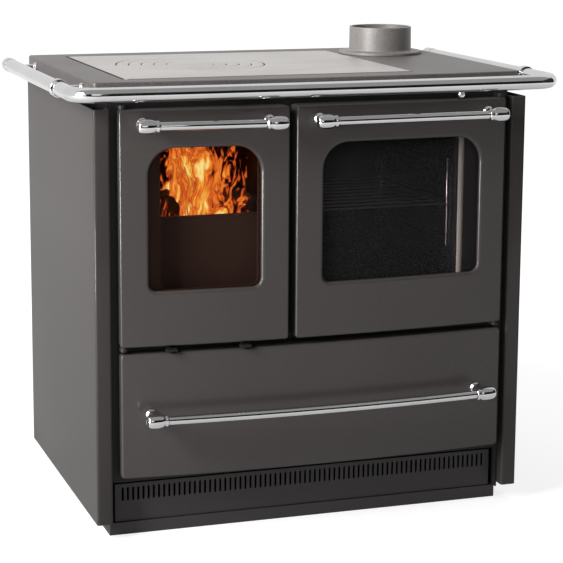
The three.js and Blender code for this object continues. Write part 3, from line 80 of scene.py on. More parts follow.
# A rounded rectangle as one loop: four quarter circles joined by straight runs in equal steps, so that
# loops of one family match point by point.
def roundedLoop(rect, runSteps=36, cornerSteps=10):
    left, right, bottom, top, topRadius, bottomRadius = rect
    sweep = quarterTurn(cornerSteps + 1)
    corners = (
        (left + topRadius, top - topRadius, topRadius, math.pi),
        (right - topRadius, top - topRadius, topRadius, math.pi / 2),
        (right - bottomRadius, bottom + bottomRadius, bottomRadius, 0),
        (left + bottomRadius, bottom + bottomRadius, bottomRadius, -math.pi / 2),
    )
    arcs = [
        np.stack([x + r * np.cos(start - sweep), z + r * np.sin(start - sweep)], -1)
        for x, z, r, start in corners
    ]
    share = np.linspace(0, 1, runSteps + 1)[1:-1, None]
    loop = []
    for here, following in zip(arcs, arcs[1:] + arcs[:1]):
        loop += [here, here[-1] * (1 - share) + following[0] * share]
    return np.concatenate(loop)


# Corner cutting: each corner of a profile gives way to two points, a quarter of the way along its two
# sides; done a few times it rounds the profile.
def softened(profile, times=3):
    profile = np.asarray(profile, float)
    for _ in range(times):
        a, b = profile[:-1], profile[1:]
        cut = np.stack([a * 0.75 + b * 0.25, a * 0.25 + b * 0.75], 1).reshape(-1, profile.shape[1])
        profile = np.concatenate([profile[:1], cut, profile[-1:]])
    return profile


# A profile of (radius, distance along the axis) pairs carried round an axis through `centre`.
def turnedSkin(profile, centre, axis, sides=64):
    profile = np.asarray(profile, float)
    axis = unit(axis)
    helper = upward if abs(axis[2]) < 0.9 else rearward
    across = unit(np.cross(axis, helper))
    beside = np.cross(axis, across)
    angle = np.linspace(0, fullTurn, sides, endpoint=False)[:, None]
    spoke = np.cos(angle) * across + np.sin(angle) * beside
    return np.asarray(centre) + profile[:, 1, None, None] * axis + profile[:, 0, None, None] * spoke


# A straight round bar: the radius grows by a quarter circle of radius `soft` at each end.
def barSkin(start, end, radius, soft, sides=24):
    start, end = np.asarray(start, float), np.asarray(end, float)
    length = np.linalg.norm(end - start)
    quarter = quarterTurn(5)
    rise = soft * (1 - np.cos(quarter))
    girth = radius - soft + soft * np.sin(quarter)
    along = np.concatenate([[0], rise, length - rise[::-1], [length]])
    radii = np.concatenate([[0], girth, girth[::-1], [0]])
    return turnedSkin(np.stack([radii, along], -1), start, end - start, sides)


# A round section carried along a path: its points lie at `radius` from the path's point, in the plane
# square to the path's direction there.
def sweptSkin(path, radius, sides=24):
    path = np.asarray(path, float)
    direction = unit(np.gradient(path, axis=0))
    side = unit(np.cross(direction, upward))
    above = np.cross(side, direction)
    angle = np.linspace(0, fullTurn, sides, endpoint=False)[:, None]
    radii = np.broadcast_to(np.asarray(radius, float), len(path))[:, None, None]
    return path[:, None] + radii * (np.cos(angle) * side[:, None] + np.sin(angle) * above[:, None])


# A flat path with its corners rounded: each corner becomes a quadratic curve between two points that
# lie `radius` before and after it.
def roundedPath(points, radius, steps=8):
    points = np.asarray(points, float)
    back = unit(points[:-2] - points[1:-1])
    on = unit(points[2:] - points[1:-1])
    t = np.linspace(0, 1, steps + 1)[None, :, None]
    corner = points[1:-1, None]
    start = corner + radius * back[:, None]
    end = corner + radius * on[:, None]
    bends = (1 - t) ** 2 * start + 2 * t * (1 - t) * corner + t ** 2 * end
    return np.concatenate([points[:1], bends.reshape(-1, points.shape[1]), points[-1:]])


# A strip of sheet bent along a level path: a rounded rectangle, as thick as the sheet and as tall as
# the strip, carried along the path.
def bentSheet(path, thickness, low, high, soft=0.5 * mm):
    direction = unit(np.gradient(path, axis=0))
    aside = np.stack([-direction[:, 1], direction[:, 0]], -1)
    section = roundedLoop(rectangle(-thickness / 2, thickness / 2, low, high, soft), 1, 2)
    plan = path[:, None] + section[None, :, :1] * aside[:, None]
    height = np.broadcast_to(section[:, 1], plan.shape[:2])
    return np.concatenate([plan, height[..., None]], -1)


# An arc in plan through (-halfSpan, edgeY) and (halfSpan, edgeY) that stands `depth` further out midway.
def bowCurve(halfSpan, edgeY, depth):
    radius = (halfSpan ** 2 + depth ** 2) / (2 * depth)

    def frontAt(x):
        return edgeY - depth + radius - np.sqrt(radius ** 2 - np.square(x))

    return frontAt


# Quads between neighbouring rows and columns of a grid of points, numbered row by row.
def gridFaces(rows, columns, wrapRows, wrapColumns):
    i = np.arange(rows if wrapRows else rows - 1)
    j = np.arange(columns if wrapColumns else columns - 1)
    i, j = np.meshgrid(i, j, indexing="ij")
    nextI, nextJ = (i + 1) % rows, (j + 1) % columns
    corners = (i * columns + j, i * columns + nextJ, nextI * columns + nextJ, nextI * columns + j)
    return np.stack(corners, -1).reshape(-1, 4)


def linkedObject(name, data):
    made = bpy.data.objects.new(name, data)
    bpy.context.scene.collection.objects.link(made)
    return made


# Grids of points become one mesh. Each skin is (grid, wraps): "rows" and "columns" in wraps say which
# way it closes on itself, and "caps" closes its first and last row with a flat face.
def makePiece(name, skins, finish, body, stands=(), sharpAngle=35, facing=None, walls=None):
    points, faces, start = [], [], 0
    for grid, wraps in skins:
        rows, columns = grid.shape[:2]
        points.append(grid.reshape(-1, 3))
        faces += (gridFaces(rows, columns, "rows" in wraps, "columns" in wraps) + start).tolist()
        if "caps" in wraps:
            first = np.arange(columns) + start
            faces += [first[::-1].tolist(), (first + (rows - 1) * columns).tolist()]
        start += rows * columns
    mesh = bpy.data.meshes.new(name)
    mesh.from_pydata(np.concatenate(points).tolist(), [], faces)
    shell = bmesh.new()
    shell.from_mesh(mesh)
    bmesh.ops.remove_doubles(shell, verts=shell.verts, dist=0.001 * mm)
    bmesh.ops.recalc_face_normals(shell, faces=shell.faces)
    if facing is not None:  # an open sheet: its first face looks the stated way
        shell.faces.ensure_lookup_table()
        shell.normal_update()
        if shell.faces[0].normal.dot(Vector(facing)) < 0:
            bmesh.ops.reverse_faces(shell, faces=shell.faces)
    shell.to_mesh(mesh)
    shell.free()
    mesh.shade_smooth()
    mesh.set_sharp_from_angle(angle=math.radians(sharpAngle))
    mesh.materials.append(finish)
    if walls is not None:  # a finish for some of the faces, and the test that picks them
        mesh.materials.append(walls[0])
        for polygon in mesh.polygons:
            polygon.material_index = int(walls[1](polygon))
    piece = linkedObject(name, mesh)
    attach(piece, body)
    if stands:
        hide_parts(*stands)
    return piece


def addModifier(piece, kind, name, **settings):
    modifier = piece.modifiers.new(name, kind)
    for key, value in settings.items():
        setattr(modifier, key, value)
    return modifier


# ---- finishes

# a colour as it is read off a picture, 0 to 255 a channel, made linear for a shader
def tone(red, green, blue):
    share = np.array([red, green, blue]) / 255
    linear = np.where(share <= 0.04045, share / 12.92, ((share + 0.055) / 1.055) ** 2.4)
    return (*linear.tolist(), 1.0)


# each input takes a value or the output of another node
def feed(tree, node, inputs):
    for key, value in inputs.items():
        if isinstance(value, bpy.types.NodeSocket):
            tree.links.new(value, node.inputs[key])
        else:
            node.inputs[key].default_value = value


def addNode(tree, kind, inputs, **settings):
    made = tree.nodes.new(kind)
    for key, value in settings.items():
        setattr(made, key, value)
    feed(tree, made, inputs)
    return made


def ramp(tree, source, stops):
    made = addNode(tree, "ShaderNodeValToRGB", {"Fac": source})
    elements = made.color_ramp.elements
    while len(elements) < len(stops):
        elements.new(0.5)
    for element, (position, colour) in zip(elements, stops):
        element.position = position
        element.color = colour
    return made.outputs["Color"]


def objectPlace(tree):
    return addNode(tree, "ShaderNodeTexCoord", {}).outputs["Object"]


def stretched(tree, place, scale):
    return addNode(tree, "ShaderNodeMapping", {"Vector": place, "Scale": scale}).outputs["Vector"]


def noise(tree, place, scale, detail, roughness=0.5):
    inputs = {"Vector": place, "Scale": scale, "Detail": detail, "Roughness": roughness}
    return addNode(tree, "ShaderNodeTexNoise", inputs)


# a number carried from the range `before` to the range `after` and held at its ends
def mapped(tree, source, before, after, **settings):
    sockets = ("Value", "From Min", "From Max", "To Min", "To Max")
    inputs = dict(zip(sockets, (source, *before, *after)))
    return addNode(tree, "ShaderNodeMapRange", inputs, **settings).outputs["Result"]


def calculated(tree, operation, *values):
    return addNode(tree, "ShaderNodeMath", dict(enumerate(values)), operation=operation).outputs[0]


def rayKinds(tree):
    return addNode(tree, "ShaderNodeLightPath", {}).outputs


# 1 for a ray from the lens, also one that has come through glass, and 0 for any other
def seenRay(tree):
    rays = rayKinds(tree)
    return calculated(tree, "MAXIMUM", rays["Is Camera Ray"], rays["Is Transmission Ray"])


def showSurface(tree, node):
    tree.links.new(node.outputs[0], tree.nodes["Material Output"].inputs["Surface"])


def showMixed(tree, share, first, second):
    inputs = {0: share, 1: first.outputs[0], 2: second.outputs[0]}
    showSurface(tree, addNode(tree, "ShaderNodeMixShader", inputs))


def newMaterial(name):
    material = bpy.data.materials.new(name)
    material.use_nodes = True
    return material, material.node_tree, material.node_tree.nodes["Principled BSDF"]


# Two noises on object coordinates: a coarse one drifts between the two tones, and a fine one, which can
# be stretched into brush lines, sets the roughness and the height of the bumps.
def makeFinish(name, look):
    material, tree, shader = newMaterial(name)
    place = objectPlace(tree)
    drift = noise(tree, place, look["driftScale"], 4.0).outputs["Fac"]
    brushed = stretched(tree, place, look.get("stretch", (1, 1, 1)))
    grain = noise(tree, brushed, look["grainScale"], look.get("grainDetail", 3.0)).outputs["Fac"]
    drifting = ramp(tree, drift, [(0.3, tone(*look["tones"][0])), (0.7, tone(*look["tones"][1]))])
    flecks = ramp(tree, grain, [(0.35, (0, 0, 0, 1)), (0.65, (1, 1, 1, 1))])
    # a mix node's colour sockets share their names with its number sockets, so they are fed by place
    shaded = addNode(
        tree, "ShaderNodeMix", {0: look.get("fleck", 0.1), 6: drifting, 7: flecks},
        data_type="RGBA", blend_type="SOFT_LIGHT",
    )
    bump = addNode(tree, "ShaderNodeBump", {
        "Height": grain, "Strength": look.get("bump", 0.2), "Distance": look.get("bumpHeight", 0.1 * mm),
    })
    feed(tree, shader, {
        "Base Color": shaded.outputs[2],
        "Metallic": look.get("metallic", 0.0),
        "Specular IOR Level": look.get("specular", 0.5),
        "Coat Weight": look.get("coat", 0.0),
        "Coat Roughness": look.get("coatRoughness", 0.1),
        "Roughness": mapped(tree, grain, (0.3, 0.7), look["roughness"]),
        "Normal": bump.outputs["Normal"],
    })
    return material



bodyPaint = makeFinish("body_paint", {
    "tones": ((70, 66, 64), (76, 72, 70)), "driftScale": 2.0, "grainScale": 900.0,
    "roughness": (0.5, 0.6), "specular": 0.16, "coat": 0.24, "coatRoughness": 0.14, "fleck": 0.12,
    "bump": 0.15,
})
doorPaint = makeFinish("door_paint", {
    "tones": ((73, 68, 66), (80, 75, 73)), "driftScale": 2.5, "grainScale": 900.0,
    "roughness": (0.5, 0.6), "specular": 0.25, "coat": 0.55, "coatRoughness": 0.18, "fleck": 0.2,
    "bump": 0.25,
})
plinthPaint = makeFinish("plinth_paint", {
    "tones": ((68, 64, 64), (74, 70, 70)), "driftScale": 3.0, "grainScale": 800.0,
    "roughness": (0.5, 0.65), "metallic": 0.1, "fleck": 0.1, "bump": 0.15,
})
darkSteel = makeFinish("dark_steel", {
    "tones": ((22, 20, 20), (30, 28, 27)), "driftScale": 6.0, "grainScale": 400.0,
    "roughness": (0.5, 0.7), "metallic": 0.2, "fleck": 0.15, "bump": 0.2,
})
castTop = makeFinish("cast_top", {
    "tones": ((112, 108, 106), (124, 120, 118)), "driftScale": 5.0, "grainScale": 260.0,
    "roughness": (0.42, 0.55), "metallic": 0.55, "fleck": 0.2, "bump": 0.25, "bumpHeight": 0.12 * mm,
})
plateSteel = makeFinish("plate_steel", {
    "tones": ((196, 192, 189), (208, 204, 201)), "driftScale": 4.0, "grainScale": 60.0,
    "stretch": (0.1, 6.0, 1.0), "roughness": (0.36, 0.5), "metallic": 0.7, "fleck": 0.4,
    "bump": 0.2,
})
castIron = makeFinish("cast_iron", {
    "tones": ((36, 30, 26), (44, 37, 32)), "driftScale": 12.0, "grainScale": 240.0,
    "roughness": (0.6, 0.8), "metallic": 0.2, "fleck": 0.3, "bump": 0.4, "bumpHeight": 0.2 * mm,
})
guardIron = makeFinish("guard_iron", {
    "tones": ((59, 38, 32), (63, 41, 34)), "driftScale": 9.0, "grainScale": 30.0,
    "roughness": (0.72, 0.74), "specular": 0.2, "fleck": 0.0, "bump": 0.0,
})
flueIron = makeFinish("flue_iron", {
    "tones": ((146, 142, 139), (158, 154, 151)), "driftScale": 20.0, "grainScale": 620.0,
    "grainDetail": 6.0, "roughness": (0.42, 0.58), "metallic": 0.35, "fleck": 0.35, "bump": 0.5,
    "bumpHeight": 0.16 * mm,
})
chrome = makeFinish("chrome", {
    "tones": ((222, 221, 222), (230, 229, 230)), "driftScale": 8.0, "grainScale": 500.0,
    "roughness": (0.07, 0.12), "metallic": 1.0, "fleck": 0.02, "bump": 0.01, "bumpHeight": 0.02 * mm,
})
fireBrick = makeFinish("fire_brick", {
    "tones": ((78, 54, 42), (60, 42, 32)), "driftScale": 14.0, "grainScale": 180.0,
    "grainDetail": 8.0, "roughness": (0.85, 0.95), "fleck": 0.5, "bump": 0.6, "bumpHeight": 0.6 * mm,
})
ropeFibre = makeFinish("rope_fibre", {
    "tones": ((225, 224, 222), (240, 239, 237)), "driftScale": 30.0, "grainScale": 900.0,
    "roughness": (0.85, 0.95), "fleck": 0.4, "bump": 0.5, "bumpHeight": 0.2 * mm,
})
enamel = makeFinish("enamel", {
    "tones": ((36, 34, 35), (40, 38, 39)), "driftScale": 8.0, "grainScale": 700.0,
    "roughness": (0.2, 0.3), "specular": 0.3, "fleck": 0.2, "bump": 0.1,
})
# the rack is chrome like its guides, made dark grey here: painted shade of the dim oven it stands in
shadedRackSteel = makeFinish("shaded_rack_steel", {
    "tones": ((84, 82, 81), (94, 92, 90)), "driftScale": 8.0, "grainScale": 500.0,
    "roughness": (0.3, 0.4), "metallic": 1.0, "fleck": 0.05, "bump": 0.02, "bumpHeight": 0.02 * mm,
})
zinc = makeFinish("zinc", {
    "tones": ((152, 151, 150), (176, 175, 174)), "driftScale": 18.0, "grainScale": 60.0,
    "roughness": (0.35, 0.5), "metallic": 0.85, "fleck": 0.2, "bump": 0.05, "bumpHeight": 0.05 * mm,
})
bark = makeFinish("bark", {
    "tones": ((34, 26, 20), (62, 48, 38)), "driftScale": 20.0, "grainScale": 120.0,
    "stretch": (1.0, 0.2, 1.0), "grainDetail": 8.0, "roughness": (0.8, 0.95), "fleck": 0.5, "bump": 0.9,
    "bumpHeight": 1.5 * mm,
})


# Clear ceramic glass with a tint. It is glass to the lens and to what the lens sees through it; any
# other ray goes straight through, so the light comes in and out without specks.
def makeGlass(name, tint, clearness, haze):
    material, tree, shader = newMaterial(name)
    smudge = noise(tree, objectPlace(tree), 9.0, 5.0).outputs["Fac"]
    feed(tree, shader, {
        "Base Color": tint,
        "Transmission Weight": clearness,
        "IOR": 1.07,
        "Roughness": mapped(tree, smudge, (0, 1), (0, haze)),
    })
    clear = addNode(tree, "ShaderNodeBsdfTransparent", {"Color": tint})
    showMixed(tree, seenRay(tree), clear, shader)
    return material


fireGlass = makeGlass("fire_glass", tone(246, 242, 238), 1.0, 0.01)
ovenGlass = makeGlass("oven_glass", tone(232, 230, 232), 0.988, 0.01)
print("finishes ready")


def chromePiece(name, skins, body, *stands):
    makePiece(name, skins, chrome, body, stands)



# ---- doors and drawer front

drawerLow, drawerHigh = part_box("drawer_front")
doorForm = {
    "bow": 18.5 * mm,  # how far the middle of the front stands out
    "shell": 9 * mm,
    "rim": 10 * mm,
    "ledge": 6 * mm,
    "corner": 6 * mm,
    "edge": 3 * mm,
    "softBack": 0.5 * mm,
    "faceLead": 0.8 * mm,  # from the rounded rim to the face's first ring
    "bevelLead": 0.6 * mm,  # from the face's last ring to the window's bevel
    "stile": 52.5 * mm,
    "topMargin": 71 * mm,
    "bottomMargin": 103 * mm,
    "topRadius": 50 * mm,
    "bottomRadius": 16 * mm,
    "bevelWidth": 6 * mm,
    "bevelDepth": 4.5 * mm,
}
frontAt = bowCurve(drawerHigh.x, drawerLow.y + doorForm["bow"], doorForm["bow"])
doorBackY = drawerHigh.y


# a flat loop of (x, z) pairs laid on the bowed face, `depth` behind it
def bowedRing(loop, depth):
    return np.stack([loop[:, 0], frontAt(loop[:, 0]) + depth, loop[:, 1]], -1)


def flatRing(loop, y):
    return np.stack([loop[:, 0], np.full(len(loop), y), loop[:, 1]], -1)


def blended(loopA, loopB, share):
    return loopA * (1 - share) + loopB * share


# the loop's points moved straight up or down to the rectangle's middle line
def drawnIn(loop, rect):
    return loop * (1, 0) + (0, (rect[2] + rect[3]) / 2)


# Rings round an outer edge: the outline is drawn in by r(1 - cos a) and comes forward by r sin a.
def roundedRim(rect, radius, steps=7):
    return [
        bowedRing(roundedLoop(grown(rect, -radius * (1 - math.cos(a)))), radius * (1 - math.sin(a)))
        for a in quarterTurn(steps)
    ]


def doorRect(node):
    low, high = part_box(node)
    return rectangle(low.x, high.x, low.z, high.z, doorForm["corner"])


def windowRect(door):
    form = doorForm
    return rectangle(
        door[0] + form["stile"], door[1] - form["stile"], door[2] + form["bottomMargin"],
        door[3] - form["topMargin"], form["topRadius"], form["bottomRadius"],
    )


# The door's skin: rings from the back of the rim round its rounded edge, over the bowed face to the
# window, round the window's rounded bevel and back along the inside of the shell.
def doorSkin(door):
    form = doorForm
    window = windowRect(door)
    outer = roundedLoop(grown(door, -form["edge"] - form["faceLead"]))
    lip = roundedLoop(grown(window, form["bevelWidth"] + form["bevelLead"]))
    rim = roundedLoop(grown(door, -form["rim"]))
    ledge = roundedLoop(grown(door, -form["rim"] - form["ledge"]))
    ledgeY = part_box("oven_inner_pane")[0].y - seat
    rings = [flatRing(roundedLoop(grown(door, -form["softBack"])), doorBackY)]
    rings += [flatRing(roundedLoop(door), doorBackY - form["softBack"])]
    rings += roundedRim(door, form["edge"])
    rings += [bowedRing(blended(outer, lip, share), 0) for share in (0, 0.25, 0.5, 0.75, 1)]
    for a in quarterTurn(9):
        loop = roundedLoop(grown(window, form["bevelWidth"] * (1 - math.sin(a))))
        rings.append(bowedRing(loop, form["bevelDepth"] * (1 - math.cos(a))))
    rings += [bowedRing(roundedLoop(window), form["shell"] - form["softBack"])]
    rings += [bowedRing(roundedLoop(grown(window, form["softBack"])), form["shell"])]
    rings += [bowedRing(ledge, form["shell"]), flatRing(ledge, ledgeY)]
    rings += [flatRing(rim, ledgeY), flatRing(rim, doorBackY)]
    return np.stack(rings)


# A pane bent to the door's bow: its loop is drawn in to the middle line, in front and behind.
def paneSkin(rect, front, thickness, soft=0.6 * mm):
    loop = roundedLoop(rect, 24, 8)
    inner = roundedLoop(grown(rect, -soft), 24, 8)
    middle = drawnIn(inner, rect)
    rings = [bowedRing(blended(inner, middle, share), front) for share in (1, 0.5, 0)]
    rings += [bowedRing(loop, front + soft), bowedRing(loop, front + thickness - soft)]
    rings += [bowedRing(blended(inner, middle, share), front + thickness) for share in (0, 0.5, 1)]
    return np.stack(rings)


paneForm = {"overlap": 9 * mm, "thickness": 4 * mm}
for doorName, glassFinish in (("firebox_door", fireGlass), ("oven_door", ovenGlass)):
    door = doorRect(doorName)
    skins = [(doorSkin(door), "rows columns")]
    makePiece(doorName + "_shell", skins, doorPaint, doorName, [doorName])
    pane = paneSkin(
        grown(windowRect(door), paneForm["overlap"]), doorForm["shell"] + seat, paneForm["thickness"],
    )
    skins = [(pane, "columns")]
    makePiece(doorName + "_pane", skins, glassFinish, doorName, [doorName + "_glass"])

hingeForm = {
    "radius": 7.5 * mm, "inset": 8 * mm, "ahead": 10 * mm, "height": 22 * mm, "bore": 4.3 * mm,
    "fromEdge": 1 * mm,
}
for doorName, side in (("firebox_door", -1), ("oven_door", 1)):
    door = doorRect(doorName)
    hingeX = door[0] + hingeForm["inset"] if side < 0 else door[1] - hingeForm["inset"]
    bosses = []
    for low in (door[2] + hingeForm["fromEdge"], door[3] - hingeForm["fromEdge"] - hingeForm["height"]):
        profile = [
            (hingeForm["bore"], 0), (hingeForm["radius"], 0),
            (hingeForm["radius"], hingeForm["height"]), (hingeForm["bore"], hingeForm["height"]),
        ]
        centre = (hingeX, doorBackY - hingeForm["ahead"], low)
        bosses.append((turnedSkin(profile, centre, upward, 32), "rows columns"))
    makePiece(doorName + "_bosses", bosses, doorPaint, doorName)


drawerForm = {"shell": 4 * mm, "rim": 8 * mm}


# The drawer front: rings from behind round the rounded edge, then drawn in to the middle line.
def drawerSkin(rect):
    softBack = doorForm["softBack"]
    face = roundedLoop(grown(rect, -doorForm["edge"] - doorForm["faceLead"]))
    middle = drawnIn(face, rect)
    behind = roundedLoop(grown(rect, -drawerForm["rim"]))
    behindMiddle = drawnIn(behind, rect)
    rings = [bowedRing(blended(behind, behindMiddle, share), drawerForm["shell"]) for share in (1, 0.5, 0)]
    rings += [flatRing(behind, doorBackY), flatRing(roundedLoop(grown(rect, -softBack)), doorBackY)]
    rings += [flatRing(roundedLoop(rect), doorBackY - softBack)]
    rings += roundedRim(rect, doorForm["edge"])
    rings += [bowedRing(blended(face, middle, share), 0) for share in (0, 0.25, 0.5, 0.75, 1)]
    return np.stack(rings)


drawerRect = doorRect("drawer_front")
makePiece(
    "drawer_face", [(drawerSkin(drawerRect), "columns")], doorPaint, "wood_drawer",
    ["drawer_front"],
)
print("doors and drawer front made")


# ---- handles

handleForm = {
    "radius": 13.75 * mm,
    "length": 40 * mm,
    "barRadius": 8.25 * mm,
    "standoff": 50 * mm,
    "stem": 6.5 * mm,
    "rosette": 11 * mm,
    "flare": (10 * mm, 6 * mm, 4 * mm),  # in front of the door, where the stem widens to its rosette
    "sink": 12 * mm,
    "barSoft": 0.6 * mm,
    "drop": 25 * mm,
    "margin": 21 * mm,
    "drawerMargin": 34 * mm,
}
# (share of the radius, place along the barrel from the inner end at 0 to the outer end at 1)
barrelProfile = [
    (0, 0), (0.7, 0), (0.76, 0.02), (0.86, 0.07), (0.86, 0.12), (0.78, 0.17), (0.78, 0.2), (0.93, 0.3),
    (1, 0.46), (1, 0.62), (0.97, 0.76), (0.9, 0.88), (0.78, 0.96), (0.66, 1), (0.5, 1),
    (0.44, 0.985), (0, 0.985),
]


# The barrel is turned about the bar's axis; its stem is turned about Y and ends on the bowed door.
def handleEndSkins(centre, outward):
    form = handleForm
    form = handleForm
    stem, rosette, standoff = form["stem"], form["rosette"], form["standoff"]
    profile = softened(np.array(barrelProfile), 2) * (form["radius"], form["length"])
    profile[:, 1] -= form["length"] / 2
    barrel = turnedSkin(profile, centre, outward, 56)
    start, middle, end = (standoff - ahead for ahead in form["flare"])
    reach = standoff + form["sink"]
    stemProfile = softened([
        (0, 0), (stem, 0), (stem, 20 * mm), (stem, start), (rosette, middle), (rosette, end),
        (rosette, reach), (0, reach),
    ], 2)
    stemSkin = turnedSkin(stemProfile, centre, rearward, 40)
    stemSkin[..., 1] = np.minimum(stemSkin[..., 1], frontAt(stemSkin[..., 0]) - seat)
    return [(barrel, "columns"), (stemSkin, "columns")]


def barEnds(left, right, margin):
    middle = margin + handleForm["length"] / 2
    x = np.array([left + middle, right - middle])
    return x, frontAt(x) - handleForm["standoff"]


for doorName, prefix in (("firebox_door", "firebox"), ("oven_door", "oven")):
    door = doorRect(doorName)
    x, y = barEnds(door[0], door[1], handleForm["margin"])
    ends = np.stack([x, y, np.full(2, door[3] - handleForm["drop"])], -1)
    along = unit(ends[1] - ends[0])
    gap = along * (handleForm["length"] / 2 + seat)
    bar = barSkin(ends[0] + gap, ends[1] - gap, handleForm["barRadius"], handleForm["barSoft"], 48)
    chromePiece(prefix + "_bar", [(bar, "columns")], doorName, prefix + "_handle_bar")
    for side, centre, outward in (("left", ends[0], -along), ("right", ends[1], along)):
        skins = handleEndSkins(centre, outward)
        chromePiece(f"{prefix}_barrel_{side}", skins, doorName, f"{prefix}_handle_{side}_end")

# the drawer's bar follows the bow; both its barrels are turned by the bow's slope at the right end
barLow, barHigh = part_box("drawer_handle_bar")
height = (barLow.z + barHigh.z) / 2
x, y = barEnds(drawerRect[0], drawerRect[1], handleForm["drawerMargin"])
slope = (frontAt(x[1] + 1 * mm) - frontAt(x[1] - 1 * mm)) / (2 * mm)
outward = unit([1, slope, 0])
reach = x[1] - handleForm["length"] / 2 * outward[0] - 2 * seat
barX = np.linspace(-reach, reach, 49)
barPath = np.stack([barX, frontAt(barX) - handleForm["standoff"], np.full(49, height)], -1)
barSkins = [(sweptSkin(barPath, handleForm["barRadius"], 48), "columns caps")]
chromePiece("drawer_bar", barSkins, "wood_drawer", "drawer_handle_bar")
for side, index, sign in (("left", 0, -1), ("right", 1, 1)):
    skins = handleEndSkins(np.array([x[index], y[index], height]), outward * sign)
    chromePiece(f"drawer_barrel_{side}", skins, "wood_drawer", f"drawer_handle_{side}_end")
print("handles made")



# ---- side panels, rear panel and vent panel

panelForm = {"sheet": 2.5 * mm, "post": 30.7 * mm, "return": 28 * mm, "fold": 4 * mm, "rearFlange": 26 * mm}
panelLow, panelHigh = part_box("right_side_panel")
half = panelForm["sheet"] / 2
outerX = panelHigh.x - half
postX = panelHigh.x - panelForm["post"] + half
sheetPath = roundedPath([
    (panelHigh.x - panelForm["rearFlange"], panelHigh.y - half),
    (outerX, panelHigh.y - half),
    (outerX, panelLow.y + half),
    (postX, panelLow.y + half),
    (postX, panelLow.y + panelForm["return"]),
], panelForm["fold"])
for side, sign in (("right", 1), ("left", -1)):
    skin = bentSheet(sheetPath * (sign, 1), panelForm["sheet"], panelLow.z, panelHigh.z)
    skins = [(skin, "columns caps")]
    makePiece(f"{side}_panel", skins, bodyPaint, "stove", [f"{side}_side_panel"])


# A row of slots in a sheet: each slot's rounded loop is joined to its own share of the sheet's outline,
# and the shares stand side by side.
def slottedSheet(outline, slots, y):
    left, right, bottom, top = outline
    pitch = slots["pitch"]
    middles = (np.arange(slots["count"]) - (slots["count"] - 1) / 2) * pitch + (left + right) / 2
    cells = []
    for i, x in enumerate(middles):
        cellLeft = left if i == 0 else x - pitch / 2
        cellRight = right if i == slots["count"] - 1 else x + pitch / 2
        hole = rectangle(
            x - slots["width"] / 2, x + slots["width"] / 2, slots["bottom"],
            slots["bottom"] + slots["height"], slots["radius"],
        )
        outer = roundedLoop(rectangle(cellLeft, cellRight, bottom, top, 0), 2, 3)
        cells.append((np.stack([flatRing(outer, y), flatRing(roundedLoop(hole, 2, 3), y)]), "columns"))
    return cells


# a slotted sheet gets its thickness, softened edges and faces that shade flat
def thicken(piece, form):
    addModifier(piece, "SOLIDIFY", "sheet", thickness=form["sheet"], offset=-1.0)
    addModifier(piece, "BEVEL", "edges", width=form["edge"], segments=2, limit_method="ANGLE")
    addModifier(piece, "WEIGHTED_NORMAL", "flat faces", keep_sharp=True)


ventLow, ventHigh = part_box("vent_panel")
ventForm = {
    "count": 74, "pitch": 10.1 * mm, "width": 4.2 * mm, "bottom": 64.5 * mm, "height": 26 * mm,
    "radius": 2.1 * mm, "sheet": 2.5 * mm, "edge": 0.35 * mm,
}
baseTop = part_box("base_frame")[1].z
vent = makePiece(
    "vent_grille", slottedSheet((ventLow.x, ventHigh.x, baseTop + seat, ventHigh.z), ventForm, ventLow.y),
    plinthPaint, "stove", ["vent_panel"], facing=(0, -1, 0),
)
thicken(vent, ventForm)

rearLow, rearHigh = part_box("rear_panel")
rearForm = {
    "count": 10, "pitch": 50 * mm, "width": 32 * mm, "bottom": 745 * mm, "height": 8 * mm,
    "radius": 3.9 * mm, "sheet": 2.5 * mm, "edge": 0.4 * mm,
}
rear = makePiece(
    "rear_sheet", slottedSheet((rearLow.x, rearHigh.x, rearLow.z, rearHigh.z), rearForm, rearHigh.y),
    bodyPaint, "stove", ["rear_panel"], facing=(0, 1, 0),
)
thicken(rear, rearForm)
print("panels made")


# ---- cooktop, hot plate and rings

topLow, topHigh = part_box("cooktop_frame")
plateLow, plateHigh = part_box("hot_plate")
topForm = {
    "bow": 18.5 * mm,
    "edge": 3.5 * mm,
    "corner": 9 * mm,
    "skirt": 6 * mm,
    "thickness": 10 * mm,
    "ledge": 10 * mm,
    "plateGap": 2.4 * mm,
    "bore": 60.5 * mm,
    "openCorner": 4 * mm,
    "softLow": 0.5 * mm,
    "faceLead": 1 * mm,  # from the rounded rim to the top's first ring
    "lip": 1.4 * mm,
}
topBow = bowCurve(topHigh.x, 0, topForm["bow"])


# The cooktop's plan is a rounded rectangle whose points come forward by the bow's height at their x,
# fading to nothing at the back edge.
def cooktopRing(rect, z):
    loop = roundedLoop(rect, 40, 8)
    fade = np.clip((topHigh.y - loop[:, 1]) / (topHigh.y - topLow.y), 0, 1)
    return np.stack([loop[:, 0], loop[:, 1] + topBow(loop[:, 0]) * fade, np.full(len(loop), z)], -1)


def levelRing(loop, z):
    return np.concatenate([loop, np.full((len(loop), 1), z)], -1)

